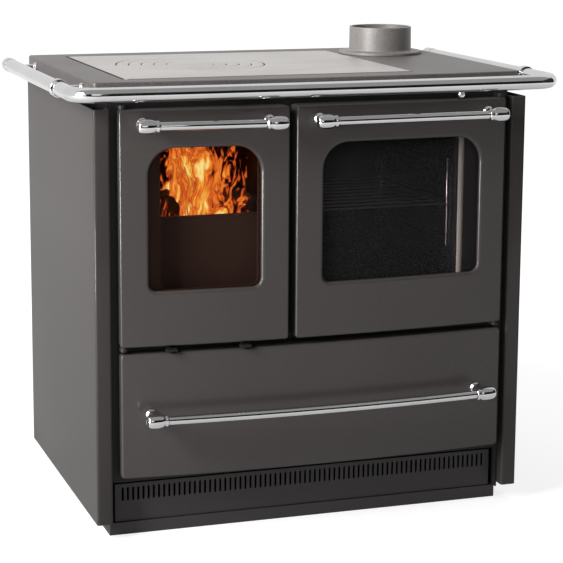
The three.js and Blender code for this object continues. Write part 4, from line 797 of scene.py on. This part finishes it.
topRect = rectangle(topLow.x, topHigh.x, topLow.y + topForm["bow"], topHigh.y, topForm["corner"])
openCorner = topForm["openCorner"] - topForm["plateGap"]
plateRect = rectangle(plateLow.x, plateHigh.x, plateLow.y, plateHigh.y, openCorner)
openRect = grown(plateRect, topForm["plateGap"])
surface, soft = topHigh.z, topForm["edge"]
under, ledgeZ = surface - topForm["thickness"], surface - topForm["thickness"] - seat
bottom = surface - 2 * topForm["thickness"]
openLoop, lipLoop, ledgeLoop, widerLoop = (
    roundedLoop(grown(openRect, by), 40, 8)
    for by in (0, topForm["lip"], -topForm["ledge"], topForm["ledge"])
)
topRings = [
    cooktopRing(grown(topRect, -topForm["skirt"]), topLow.z),
    cooktopRing(grown(topRect, -topForm["softLow"]), topLow.z),
    cooktopRing(topRect, topLow.z + topForm["softLow"]),
]
for a in quarterTurn(7):
    rim = grown(topRect, -soft * (1 - math.cos(a)))
    topRings.append(cooktopRing(rim, surface - soft * (1 - math.sin(a))))
outerFlat = cooktopRing(grown(topRect, -soft - topForm["faceLead"]), surface)
innerFlat = levelRing(lipLoop, surface)
topRings += [blended(outerFlat, innerFlat, share) for share in (0, 0.33, 0.67, 1)]
topRings += [levelRing(openLoop, surface - topForm["lip"]), levelRing(openLoop, ledgeZ)]
topRings += [levelRing(ledgeLoop, ledgeZ), levelRing(ledgeLoop, bottom)]
topRings += [levelRing(widerLoop, bottom), levelRing(widerLoop, under)]
topRings += [cooktopRing(grown(topRect, -topForm["skirt"]), under)]
skins = [(np.stack(topRings), "rows columns")]
top = makePiece("cooktop_casting", skins, castTop, "stove", ["cooktop_frame"])

# the flue's hole is bored through the casting by a rod that stands proud of it at both ends
flueLow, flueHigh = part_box("flue_collar")
flueCentre = np.array([(flueLow.x + flueHigh.x) / 2, (flueLow.y + flueHigh.y) / 2, 0])
proud = 10 * mm
rodLow, rodHigh = flueCentre + (0, 0, topLow.z - proud), flueCentre + (0, 0, surface + proud)
boringRod = barSkin(rodLow, rodHigh, topForm["bore"], 0.1 * mm, 96)
borer = makePiece("borer", [(boringRod, "columns")], castTop, "stove")
boring = addModifier(top, "BOOLEAN", "flue hole", operation="DIFFERENCE", object=borer, solver="EXACT")
evaluated = top.evaluated_get(bpy.context.evaluated_depsgraph_get())
bored = bpy.data.meshes.new_from_object(evaluated)
top.modifiers.remove(boring)
top.data = bored
bpy.data.objects.remove(borer)

ringForm = {
    "centre": (-152 * mm, 25 * mm), "radii": (48, 73, 98, 123, 148), "lap": 7 * mm, "soft": 2.2 * mm,
    "gap": 1.6 * mm, "plateSoft": 1.2,  # the plate's outline, in parts of `soft`
}
ringCentre = np.array([*ringForm["centre"], 0])
plateBottom, ledgeLevel = plateLow.z, (plateLow.z + plateHigh.z) / 2
softRing = ringForm["soft"]


# A rounded top edge in section: a circle's points at the given angles.
def softArc(x, angles):
    return np.stack([x + softRing * np.cos(angles), surface - softRing + softRing * np.sin(angles)], -1)


# Half of a ledged ring's section, outer side: a rounded top edge, down to the ledge that laps over the
# next ring, and in under it.
def outerEdge(radius):
    inner = radius - ringForm["lap"]
    arc = softArc(radius - softRing, np.linspace(math.pi / 2, 0, 5))
    lapLevel = ledgeLevel + seat
    return np.concatenate([arc, [(radius, lapLevel), (inner, lapLevel), (inner, plateBottom)]])


def innerEdge(radius):
    inner = radius - ringForm["lap"]
    arc = softArc(radius + softRing, np.linspace(math.pi, math.pi / 2, 5))
    return np.concatenate([[(inner, plateBottom), (inner, ledgeLevel), (radius, ledgeLevel)], arc])


# the tops are machined bright; what looks aside stays raw, and so does a hole's rounded lip
def rawFace(polygon):
    lip = polygon.normal.z < 0.8 and polygon.normal.dot(Vector(ringCentre) - polygon.center) > 0
    return lip or polygon.normal.z < 0.4


# a piece of the plate: bright, and raw where `raw` picks a face
def platePiece(name, skin, wraps, raw):
    skins = [(skin, wraps)]
    makePiece(name + "_casting", skins, plateSteel, name, [name], walls=(castIron, raw))


radii = [r * mm for r in ringForm["radii"]]
for index in range(1, len(radii)):
    section = np.concatenate([innerEdge(radii[index - 1]), outerEdge(radii[index] - ringForm["gap"])])
    platePiece(f"ring_{index}", turnedSkin(section, ringCentre, upward, 128), "rows columns", rawFace)
lidSection = np.concatenate([[(0, surface)], outerEdge(radii[0] - ringForm["gap"]), [(0, plateBottom)]])
platePiece("centre_lid", turnedSkin(lidSection, ringCentre, upward, 128), "columns", rawFace)

# The hot plate: the section of its hole, carried round the rings' circle, is joined to the plate's
# square outline: a ray at each angle leaves the circle and ends on the outline.
rayAngles = np.linspace(0, fullTurn, 256, endpoint=False)
rays = np.stack([np.cos(rayAngles), np.sin(rayAngles)], -1)


def plateOutline(inset):
    low = np.array([plateLow.x, plateLow.y]) + inset - ringCentre[:2]
    high = np.array([plateHigh.x, plateHigh.y]) - inset - ringCentre[:2]
    limit = np.where(rays > 0, high, low)
    reach = np.where(np.abs(rays) < 1e-9, np.inf, limit / np.where(rays == 0, 1, rays)).min(axis=1)
    return ringCentre[:2] + rays * reach[:, None]


def circleRing(radius, z):
    return levelRing(ringCentre[:2] + radius * rays, z)


plateRings = [circleRing(radius, z) for radius, z in innerEdge(radii[-1])]
innerFlat = circleRing(radii[-1] + 2 * softRing, surface)
outerFlat = levelRing(plateOutline(softRing * ringForm["plateSoft"]), surface)
plateRings += [blended(innerFlat, outerFlat, share) for share in (0, 0.3, 0.6, 1)]
plateRings += [levelRing(plateOutline(0), surface - softRing), levelRing(plateOutline(0), plateBottom)]
platePiece("hot_plate", np.stack(plateRings), "rows columns", lambda polygon: polygon.normal.z < 0.8)
print("cooktop made")


# ---- flue collar

flueForm = {
    "radius": 65.5 * mm, "wall": 5 * mm, "flange": 87.5 * mm, "flangeThickness": 6 * mm, "fillet": 4 * mm,
    "flangeSoft": 2 * mm, "footSoft": 0.5 * mm, "rimSoft": 1.5 * mm, "rimStep": 0.5 * mm,
    "boreSoft": 0.8 * mm,
}
bore = flueForm["radius"] - flueForm["wall"]
shoulder = flueLow.z + flueForm["flangeThickness"]


# a quarter circle from the outer side up to the top, below and inside the corner (outer, height)
def cornerArc(outer, height, radius):
    quarter = quarterTurn(7)
    return np.stack([outer - radius * (1 - np.cos(quarter)), height - radius * (1 - np.sin(quarter))], -1)


quarter = quarterTurn(7)
filletArc = np.stack([
    flueForm["radius"] + flueForm["fillet"] * (1 - np.sin(quarter)),
    shoulder + flueForm["fillet"] * (1 - np.cos(quarter)),
], -1)
flueProfile = np.concatenate([
    [(bore, flueLow.z), (flueForm["flange"] - flueForm["footSoft"], flueLow.z)],
    [(flueForm["flange"], flueLow.z + flueForm["footSoft"])],
    cornerArc(flueForm["flange"], shoulder, flueForm["flangeSoft"]),
    filletArc,
    cornerArc(flueForm["radius"] - flueForm["rimStep"], flueHigh.z, flueForm["rimSoft"]),
    [(bore + flueForm["boreSoft"], flueHigh.z), (bore, flueHigh.z - flueForm["boreSoft"])],
])
makePiece(
    "flue_spigot", [(turnedSkin(flueProfile, flueCentre, upward, 128), "rows columns")], flueIron,
    "stove", ["flue_collar"],
)


# ---- damper rod and knob

damperLow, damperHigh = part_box("damper")
damperForm = {
    "x": 285 * mm, "z": 817.5 * mm, "knob": 8 * mm, "rod": 3.5 * mm, "plate": 3 * mm, "length": 120 * mm,
    "rodSink": 6 * mm, "overlap": 1 * mm, "tabHalf": 9 * mm, "tabThickness": 3 * mm, "tabSink": 0.5 * mm,
}
knobCentre = (damperForm["x"], damperLow.y + damperForm["knob"], damperForm["z"])
arc = np.linspace(0, math.pi, 25)
knobProfile = np.stack([damperForm["knob"] * np.sin(arc), damperForm["knob"] * -np.cos(arc)], -1)
plateY = damperHigh.y - damperForm["length"]
knob = turnedSkin(knobProfile, knobCentre, rearward, 40)
chromePiece("damper_knob", [(knob, "columns")], "damper", "damper")
rodStart = (damperForm["x"], knobCentre[1] + damperForm["rodSink"], damperForm["z"])
rodEnd = (damperForm["x"], plateY + damperForm["overlap"], damperForm["z"])
damperRod = barSkin(rodStart, rodEnd, damperForm["rod"], 0.3 * mm, 24)
makePiece("damper_shaft", [(damperRod, "columns")], chrome, "damper")


# a plate with softened edges: a rounded rectangle drawn up, its edges cut back by `soft`
def slabSkin(low, high, corner, soft):
    rect = rectangle(low[0], high[0], low[1], high[1], corner)
    loop, inner = roundedLoop(rect, 2, 5), roundedLoop(grown(rect, -soft), 2, 5)
    levels = ((inner, low[2]), (loop, low[2] + soft), (loop, high[2] - soft), (inner, high[2]))
    return np.stack([levelRing(ring, z) for ring, z in levels])


plateTop = damperLow.z + damperForm["plate"]
damperPlate = slabSkin(
    (damperLow.x, plateY, damperLow.z), (damperHigh.x, damperHigh.y, plateTop), 3 * mm, 0.4 * mm,
)
damperTab = slabSkin(
    (damperForm["x"] - damperForm["tabHalf"], plateY, plateTop - damperForm["tabSink"]),
    (damperForm["x"] + damperForm["tabHalf"], plateY + damperForm["tabThickness"], damperHigh.z),
    0.5 * mm, 0.3 * mm,
)
skins = [(damperPlate, "columns caps"), (damperTab, "columns caps")]
makePiece("damper_plate", skins, darkSteel, "damper")
print("flue and damper made")


# ---- handrail

railForm = {
    "radius": 13.75 * mm, "sideX": 468 * mm, "height": 840 * mm, "frontY": -347 * mm, "bow": 10 * mm,
    "elbow": 46 * mm, "jointY": -205 * mm, "rearY": 292 * mm, "wider": 0.7 * mm, "endPiece": 45 * mm,
    "groove": 0.4 * mm, "rearStudY": 218 * mm, "frontStudX": 200 * mm, "studSink": 1 * mm,
}

railBow = bowCurve(railForm["sideX"] - railForm["elbow"], railForm["frontY"], railForm["bow"])


# Half of the front tube's centre line: straight from the joint, a quarter turn round the elbow and
# along the bow to the middle.
def railHalf():
    form = railForm
    inner = form["sideX"] - form["elbow"]
    tilt = math.atan((railBow(inner) - railBow(inner - 1 * mm)) / (1 * mm))
    sweep = np.linspace(0, math.pi / 2 - tilt, 19)
    endX = -inner - form["elbow"] * math.sin(tilt)
    centreY = railBow(endX) + form["elbow"] * math.cos(tilt)
    elbow = np.stack([-inner - form["elbow"] * np.cos(sweep), centreY - form["elbow"] * np.sin(sweep)], -1)
    lineY = np.linspace(form["jointY"], centreY, 5)[:-1]
    line = np.stack([np.full(4, -form["sideX"]), lineY], -1)
    bowX = np.linspace(elbow[-1, 0], 0, 25)[1:]
    return np.concatenate([line, elbow, np.stack([bowX, railBow(bowX)], -1)])


leftRail = railHalf()
railPath = np.concatenate([leftRail, leftRail[-2::-1] * (-1, 1)])
railPath = levelRing(railPath, railForm["height"])
rail = sweptSkin(railPath, railForm["radius"], 48)
chromePiece("front_rail", [(rail, "columns caps")], "stove", "front_handrail")

# a side tube: straight, then a shallow groove and a slightly wider end piece with a domed end
tube, wide = railForm["radius"], railForm["radius"] + railForm["wider"]
length = railForm["rearY"] - railForm["jointY"] - seat
step = length - railForm["endPiece"]
dome = quarterTurn(13)
sideProfile = np.concatenate([
    [(0, 0), (tube, 0), (tube, step - 1 * mm), (tube - railForm["groove"], step - 0.6 * mm)],
    [(wide - 0.3 * mm, step), (wide, step + 0.5 * mm)],
    np.stack([wide * np.cos(dome), length - wide + wide * np.sin(dome)], -1),
])
collarForm = {"radius": 17 * mm, "half": 9 * mm, "edge": 1 * mm, "stud": 5 * mm, "foot": 8.5 * mm}
girth, half, edge = collarForm["radius"], collarForm["half"], collarForm["edge"]
collarProfile = softened([
    (tube, -half), (girth - edge, -half), (girth, edge - half), (girth, 2 * edge - half),
    (girth, half - 2 * edge), (girth, half - edge), (girth - edge, half), (tube, half),
], 2)


# A stud turned about its own axis: a wide foot on the casting that narrows to the shank.
def studSkin(foot, tip):
    foot, tip = np.asarray(foot, float), np.asarray(tip, float)
    length = np.linalg.norm(tip - foot)
    wideFoot, shank = collarForm["foot"], collarForm["stud"]
    profile = softened([
        (0, 0), (wideFoot, 0), (wideFoot, 0.5 * mm), (wideFoot, 4 * mm), (shank, 7 * mm), (shank, 10 * mm),
        (shank, length), (0, length),
    ], 2)
    return turnedSkin(profile, foot, tip - foot, 32)


edgeX = topHigh.x + seat
z, jointY, rearStudY = railForm["height"], railForm["jointY"], railForm["rearStudY"]
reach = tube - railForm["studSink"]
for side, sign in (("right", 1), ("left", -1)):
    railX = sign * railForm["sideX"]
    rail = turnedSkin(sideProfile, (railX, jointY + seat, z), rearward, 48)
    chromePiece(f"{side}_rail", [(rail, "columns")], "stove", f"{side}_handrail")
    collar = turnedSkin(collarProfile, (railX, jointY, z), rearward, 48)
    stud = studSkin((sign * edgeX, jointY, z), (railX - sign * tube, jointY, z))
    skins = [(collar, "rows columns"), (stud, "columns")]
    chromePiece(f"{side}_rail_sleeve", skins, "stove", f"{side}_rail_collar")
    stud = studSkin((sign * edgeX, rearStudY, z), (railX - sign * reach, rearStudY, z))
    chromePiece(f"{side}_rail_post", [(stud, "columns")], "stove", f"{side}_rail_stud")
for side, x in (("left", -railForm["frontStudX"]), ("right", railForm["frontStudX"])):
    footY = topLow.y + topForm["bow"] + topBow(x) - seat
    stud = studSkin((x, footY, z), (x, railBow(x) + reach, z))
    chromePiece(f"front_{side}_rail_post", [(stud, "columns")], "stove", f"front_{side}_rail_stud")
print("handrail made")


# ---- gaskets, rack and rack guides

ropeForm = {"width": 12 * mm, "corner": 27 * mm, "wave": 9 * mm, "strands": 3, "ridge": 0.13}


# A braided rope laid round a mouth: a flattened round section carried along a rounded rectangle, its
# radius raised by two families of slanted ridges that cross each other.
def ropeSkin(rect, y, depth):
    width, strands, ridge = ropeForm["width"], ropeForm["strands"], ropeForm["ridge"]
    loop = roundedLoop(rect, 90, 16)
    direction = unit(np.roll(loop, -1, 0) - np.roll(loop, 1, 0))
    outward = np.stack([-direction[:, 1], direction[:, 0]], -1)
    steps = np.linalg.norm(np.roll(loop, -1, 0) - loop, axis=1)
    distance = np.concatenate([[0], np.cumsum(steps)[:-1]])
    waves = round(steps.sum() / ropeForm["wave"])
    phase = fullTurn * waves * distance[:, None] / steps.sum()
    angle = np.linspace(0, fullTurn, 20, endpoint=False)[None, :]
    ridges = np.maximum(np.cos(strands * angle + phase), np.cos(strands * angle - phase))
    lifted = 1 - ridge + ridge * ridges
    across = width / 2 * np.cos(angle) * lifted
    ahead = depth / 2 * np.sin(angle) * lifted
    flat = loop[:, None] + across[..., None] * outward[:, None]
    return np.stack([flat[..., 0], y - depth / 2 + ahead, flat[..., 1]], -1)


for name in ("firebox_gasket", "oven_gasket"):
    low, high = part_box(name)
    rect = grown(rectangle(low.x, high.x, low.z, high.z, ropeForm["corner"]), -ropeForm["width"] / 2)
    skin = ropeSkin(rect, high.y, high.y - low.y)
    makePiece(name + "_rope", [(skin, "rows columns")], ropeFibre, "stove", [name])


# wires between pairs of points, each with its radius and the softness of its ends
def wireSkins(wires, radius, soft):
    return [(barSkin(start, end, radius, soft, 16), "columns") for start, end in wires]


guideForm = {
    "wire": 2 * mm, "soft": 0.8 * mm, "levels": (530, 602, 673), "pairGap": 14 * mm, "over": 6 * mm,
}
for name, side in (("left_rack_guide", -1), ("right_rack_guide", 1)):
    low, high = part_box(name)
    wire, over = guideForm["wire"], guideForm["over"]
    wallX, railX = (low.x + wire, high.x - wire) if side < 0 else (high.x - wire, low.x + wire)
    wires = [((wallX, y, low.z), (wallX, y, high.z)) for y in (low.y + over, high.y - over)]
    for level in guideForm["levels"]:
        for sign in (-0.5, 0.5):
            z = level * mm + sign * guideForm["pairGap"]
            wires.append(((railX, low.y, z), (railX, high.y, z)))
    chromePiece(name + "_wires", wireSkins(wires, wire, guideForm["soft"]), "stove", name)

rackLow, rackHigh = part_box("oven_rack")
rackForm = {"wire": 2.2 * mm, "soft": 0.8 * mm, "bars": 10, "bar": 1.76 * mm, "barSoft": 0.5 * mm}
rackZ = (rackLow.z + rackHigh.z) / 2
rackX = (rackLow.x + rackForm["wire"], rackHigh.x - rackForm["wire"])
rackY = np.linspace(rackLow.y + rackForm["wire"], rackHigh.y - rackForm["wire"], rackForm["bars"])
sideWires = [((x, rackLow.y, rackZ), (x, rackHigh.y, rackZ)) for x in rackX]
bars = [((rackX[0], y, rackZ), (rackX[1], y, rackZ)) for y in rackY]
skins = wireSkins(sideWires, rackForm["wire"], rackForm["soft"])
skins += wireSkins(bars, rackForm["bar"], rackForm["barSoft"])
# the rack wires take the darkened steel: painted shade inside the oven
makePiece("rack_wires", skins, shadedRackSteel, "stove", ["oven_rack"])
print("gaskets and rack made")


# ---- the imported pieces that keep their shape: merged corners, softened edges and a finish

kept = {
    "plinth_paint": (plinthPaint, ["base_frame"]),
    "dark_steel": (darkSteel, [
        "inner_casing", "front_frame", "outlet_box", "firebox_casing", "primary_air_slide",
        "secondary_air_slide",
    ]),
    "cast_iron": (castIron, ["grate"]),
    "guard_iron": (guardIron, ["log_guard", "firebox_door_lining"]),
    "fire_brick": (fireBrick, ["left_firebrick", "right_firebrick", "rear_firebrick"]),
    "enamel": (enamel, ["oven_liner"]),
    "zinc": (zinc, ["left_drawer_runner", "right_drawer_runner", "drawer_box", "ash_pan"]),
    "glass": (fireGlass, ["oven_inner_pane"]),
}
for finish, names in kept.values():
    for name in names:
        nodes[name].data.materials.clear()
        nodes[name].data.materials.append(finish)
        addModifier(nodes[name], "WELD", "merged corners", merge_threshold=0.01 * mm)
        if name != "oven_inner_pane":
            addModifier(
                nodes[name], "BEVEL", "soft edges", width=0.5 * mm, segments=2, limit_method="ANGLE",
                angle_limit=math.radians(40), use_clamp_overlap=True,
            )
print("packed pieces finished")


# ---- fire

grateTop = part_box("grate")[1].z
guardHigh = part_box("log_guard")[1].z
brickLeft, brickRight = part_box("left_firebrick")[1].x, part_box("right_firebrick")[0].x
logForm = {"rows": 40, "sides": 48, "rough": 0.05, "flat": 0.82, "turned": 0.7}
# centre line's ends and radius of each split log, in mm: (x, y, z) above the grate
logs = {
    "low_log": ((-240, -215, 42), (-236, 60, 42), 40),
    "middle_log": ((-160, -225, 44), (-156, 50, 44), 42),
    "high_log": ((-126, -228, 122), (-130, 40, 118), 40),
    "cross_log": ((-255, -160, 112), (-215, 40, 112), 34),
}


# A split log: its section is a circle flattened on one side, and its skin is raised by a few waves that
# change slowly along it.
def logSkin(start, end, radius, seed):
    form = logForm
    t = np.linspace(0, 1, form["rows"])[:, None]
    angle = np.linspace(0, fullTurn, form["sides"], endpoint=False)[None, :]
    waves = np.sin(3 * angle + seed + 2 * t) + 0.6 * np.sin(7 * angle - 3 * t + 2 * seed)
    waves += 0.4 * np.sin(13 * angle + 9 * t)
    flat = np.minimum(1, form["flat"] / np.maximum(np.cos(angle - form["turned"] - seed), 0.3))
    girth = radius * (1 + form["rough"] * waves) * flat
    start, end = np.asarray(start, float), np.asarray(end, float)
    axis = unit(end - start)
    across = unit(np.cross(axis, (0, 0, 1)))
    above = np.cross(across, axis)
    spoke = np.cos(angle)[..., None] * across + np.sin(angle)[..., None] * above
    return start + (end - start) * t[..., None] + girth[..., None] * spoke


skins = []
for seed, (start, end, radius) in enumerate(logs.values()):
    start, end = (np.array(spot) * mm + (0, 0, grateTop) for spot in (start, end))
    skins.append((logSkin(start, end, radius * mm, seed), "columns caps"))
makePiece("logs", skins, bark, "stove", sharpAngle=50)

fireForm = {
    "sheets": 3, "left": brickLeft + 8 * mm, "right": brickRight - 4 * mm,
    "front": -240 * mm, "back": -90 * mm,
    "low": guardHigh - 70 * mm, "high": guardHigh + 150 * mm, "ripple": 9 * mm, "phase": 1.7,
}
flameForm = {
    "pull": 0.045,
    "strands": 0.42,  # their share of the licks
    "tipFade": (-0.03, 0.06),
    "sideReach": (0.02, 0.1),
    "sideFade": (-0.05, 0.16),
}


# A sheet of fire hangs between two sides; it is rippled by two crossing waves.
def fireSheet(y, phase):
    form = fireForm
    across, up = (form["left"], form["right"]), (form["low"], form["high"])
    x, z = np.meshgrid(np.linspace(*across, 40), np.linspace(*up, 40))
    ripple = np.sin(46 * x + 17 * z + phase) + 0.6 * np.sin(83 * x - 29 * z + 2 * phase)
    return np.stack([x, y + form["ripple"] * ripple, z], -1)


# The fire's glow: noise stretched upwards and pulled about by a slower noise gives the licks; what is
# taken from it grows towards the sides and the tips, and where too little is left the sheet is clear.
def makeFlame():
    form = flameForm
    material, tree, shader = newMaterial("flame")
    tree.nodes.remove(shader)
    place = objectPlace(tree)
    slow = noise(tree, place, 13.0, 2.0).outputs["Color"]
    inputs = {"Fac": form["pull"], "Color1": place, "Color2": slow}
    pulled = addNode(tree, "ShaderNodeMixRGB", inputs).outputs["Color"]
    shape = noise(tree, stretched(tree, pulled, (1.0, 2.0, 0.3)), 38.0, 2.0).outputs["Fac"]
    strands = noise(tree, stretched(tree, pulled, (1.0, 2.0, 0.16)), 130.0, 2.5, 0.55).outputs["Fac"]
    inputs = {0: form["strands"], 2: shape, 3: strands}
    licks = addNode(tree, "ShaderNodeMix", inputs, data_type="FLOAT").outputs[0]
    parts = addNode(tree, "ShaderNodeSeparateXYZ", {"Vector": place}).outputs
    tips = mapped(tree, parts["Z"], (guardHigh, fireForm["high"]), form["tipFade"])
    middle = (fireForm["left"] + fireForm["right"]) / 2
    aside = calculated(tree, "ABSOLUTE", calculated(tree, "ADD", parts["X"], -middle))
    sides = mapped(tree, aside, form["sideReach"], form["sideFade"])
    heat = calculated(tree, "SUBTRACT", calculated(tree, "SUBTRACT", licks, tips), sides)
    colour = ramp(tree, heat, [
        (0.42, tone(60, 14, 6)), (0.47, tone(140, 46, 20)), (0.52, tone(214, 92, 34)),
        (0.58, tone(240, 136, 44)), (0.63, tone(250, 190, 84)), (0.69, tone(255, 232, 150)),
    ])
    glow = addNode(tree, "ShaderNodeEmission", {"Color": colour, "Strength": 1.0})
    body = ramp(tree, heat, [(0.46, (0, 0, 0, 1)), (0.51, (1, 1, 1, 1))])
    showMixed(tree, body, addNode(tree, "ShaderNodeBsdfTransparent", {}), glow)
    return material


flame = makeFlame()
ys = np.linspace(fireForm["front"], fireForm["back"], fireForm["sheets"])
sheets = [(fireSheet(y, fireForm["phase"] * i), "") for i, y in enumerate(ys)]
makePiece("flames", sheets, flame, "stove")
print("fire made")


# ---- floor, light and camera

# one flat face with a finish
def flatFace(name, corners, finish):
    mesh = bpy.data.meshes.new(name)
    mesh.from_pydata(corners, [], [(0, 1, 2, 3)])
    mesh.materials.append(finish)
    return linkedObject(name, mesh)


# A plain pale floor that keeps the shadow. It grows into the white behind it away from the stove, and
# in reflections it is darker near the stove.
white = (1, 1, 1, 1)
floorForm = {"reach": 12.0, "tone": 0.42, "near": 0.9, "far": 2.0, "lift": 0.78}
mirrorForm = {"near": 0.6, "far": 4.0, "low": 0.28, "high": 0.8}
floorFinish, tree, matt = newMaterial("pale_floor")
grey = (*[floorForm["tone"]] * 3, 1.0)
feed(tree, matt, {"Base Color": grey, "Roughness": 0.9, "Specular IOR Level": 0.0})
lengthNode = addNode(tree, "ShaderNodeVectorMath", {0: objectPlace(tree)}, operation="LENGTH")
distance = lengthNode.outputs["Value"]
fade = mapped(
    tree, distance, (floorForm["near"], floorForm["far"]), (floorForm["lift"], 1.0),
    interpolation_type="SMOOTHSTEP",
)
duller = mapped(
    tree, distance, (mirrorForm["near"], mirrorForm["far"]), (mirrorForm["low"], mirrorForm["high"]),
)
kinds = rayKinds(tree)
mirrored = calculated(tree, "MULTIPLY", kinds["Is Glossy Ray"], duller)
seen = calculated(tree, "MULTIPLY", kinds["Is Camera Ray"], fade)
lit = calculated(tree, "MAXIMUM", seen, mirrored)
lift = addNode(tree, "ShaderNodeEmission", {"Color": white, "Strength": lit})
showSurface(tree, addNode(tree, "ShaderNodeAddShader", {0: matt.outputs[0], 1: lift.outputs[0]}))
reach = floorForm["reach"]
floorCorners = [(-reach, -reach, 0), (reach, -reach, 0), (reach, reach, 0), (-reach, reach, 0)]
floor = flatFace("floor", floorCorners, floorFinish)

# the world is white to the lens and through glass, nearly so in reflections, and soft as a light
worldForm = {"soft": 0.12, "reflected": 0.78, "seen": 1.0}
world = bpy.data.worlds.new("studio")
bpy.context.scene.world = world
world.use_nodes = True
tree = world.node_tree
level = mapped(tree, rayKinds(tree)["Is Glossy Ray"], (0, 1), (worldForm["soft"], worldForm["reflected"]))
strength = mapped(tree, seenRay(tree), (0, 1), (level, worldForm["seen"]))
feed(tree, tree.nodes["Background"], {"Color": white, "Strength": strength})


# `mirrored` and `lights`: whether reflections show the lamp and whether matt faces take its light
lamps = {
    "left_key": {"spot": (-2.95, -1.3, 2.1), "aim": (-0.3, 0, 0.6), "size": (1.0, 1.6), "power": 128},
    "low_strip": {
        "spot": (-3.0, -1.1, 0.27), "aim": (0, -0.4, 0.3), "size": (1.1, 0.5), "power": 100,
        "lights": False,
    },
    "top_soft": {
        "spot": (0.2, 0.8, 3.0), "aim": (0, 0, 0.6), "size": (3.0, 3.0), "power": 40, "mirrored": False,
    },
    "front_fill": {"spot": (-1.0, -4.0, 1.9), "aim": (0, 0, 0.5), "size": (2.0, 1.4), "power": 8},
}
for name, lamp in lamps.items():
    light = bpy.data.lights.new(name, "AREA")
    light.shape = "RECTANGLE"
    light.size, light.size_y = lamp["size"]
    light.energy = lamp["power"]
    holder = linkedObject(name, light)
    holder.visible_glossy = lamp.get("mirrored", True)
    holder.visible_diffuse = lamp.get("lights", True)
    holder.location = lamp["spot"]
    holder.rotation_euler = (Vector(lamp["aim"]) - Vector(lamp["spot"])).to_track_quat("-Z", "Y").to_euler()

# Cards that only reflections see, so that polished metal shows its bands: black ones in front and to the
# right, and a grey one overhead in front.
cards = {
    "front_card": (0.01, [(-5, -5, 0.0), (7, -5, 0.0), (7, -5, 3.4), (-5, -5, 3.4)]),
    "right_card": (0.03, [(4.5, -6, 0.1), (4.5, 0.6, 0.1), (4.5, 0.6, 3.2), (4.5, -6, 3.2)]),
    "over_card": (0.32, [(-5, -5, 3.4), (7, -5, 3.4), (7, 0.2, 4.6), (-5, 0.2, 4.6)]),
}
for name, (level, corners) in cards.items():
    cardFinish, tree, shader = newMaterial(name)
    tree.nodes.remove(shader)
    showSurface(tree, addNode(tree, "ShaderNodeEmission", {"Color": white, "Strength": level}))
    card = flatFace(name, corners, cardFinish)
    card.visible_camera = False
    card.visible_diffuse = False
    card.visible_shadow = False
    card.visible_transmission = False

# the lens stands to the left of the stove and looks a little down and to the right
cameraForm = {
    "spot": (-1.1791, -3.5487, 1.1995),
    "turn": 0.3139,
    "tilt": -0.178,
    "roll": 0.0038,
    "focalPixels": 1873.09,
    "framePixels": 563,
    "sensor": 36.0,
    "shift": (0.05, -0.1),
}
turn, tilt, roll = cameraForm["turn"], cameraForm["tilt"], cameraForm["roll"]
ahead = np.array([math.sin(turn) * math.cos(tilt), math.cos(turn) * math.cos(tilt), math.sin(tilt)])
levelRight = np.array([math.cos(turn), -math.sin(turn), 0])
levelUp = np.cross(levelRight, ahead)
right = levelRight * math.cos(roll) + levelUp * math.sin(roll)
up = levelUp * math.cos(roll) - levelRight * math.sin(roll)
lens = bpy.data.cameras.new("camera")
lens.sensor_width = cameraForm["sensor"]
lens.lens = cameraForm["focalPixels"] / cameraForm["framePixels"] * cameraForm["sensor"]
lens.shift_x, lens.shift_y = cameraForm["shift"]
lens.clip_end = 100.0
camera = linkedObject("camera", lens)
pose = np.eye(4)
pose[:3, 0], pose[:3, 1], pose[:3, 2], pose[:3, 3] = right, up, -ahead, cameraForm["spot"]
camera.matrix_world = Matrix(pose.tolist())
bpy.context.scene.camera = camera
bpy.context.scene.view_settings.view_transform = "Standard"
print("stage, lights and camera ready")
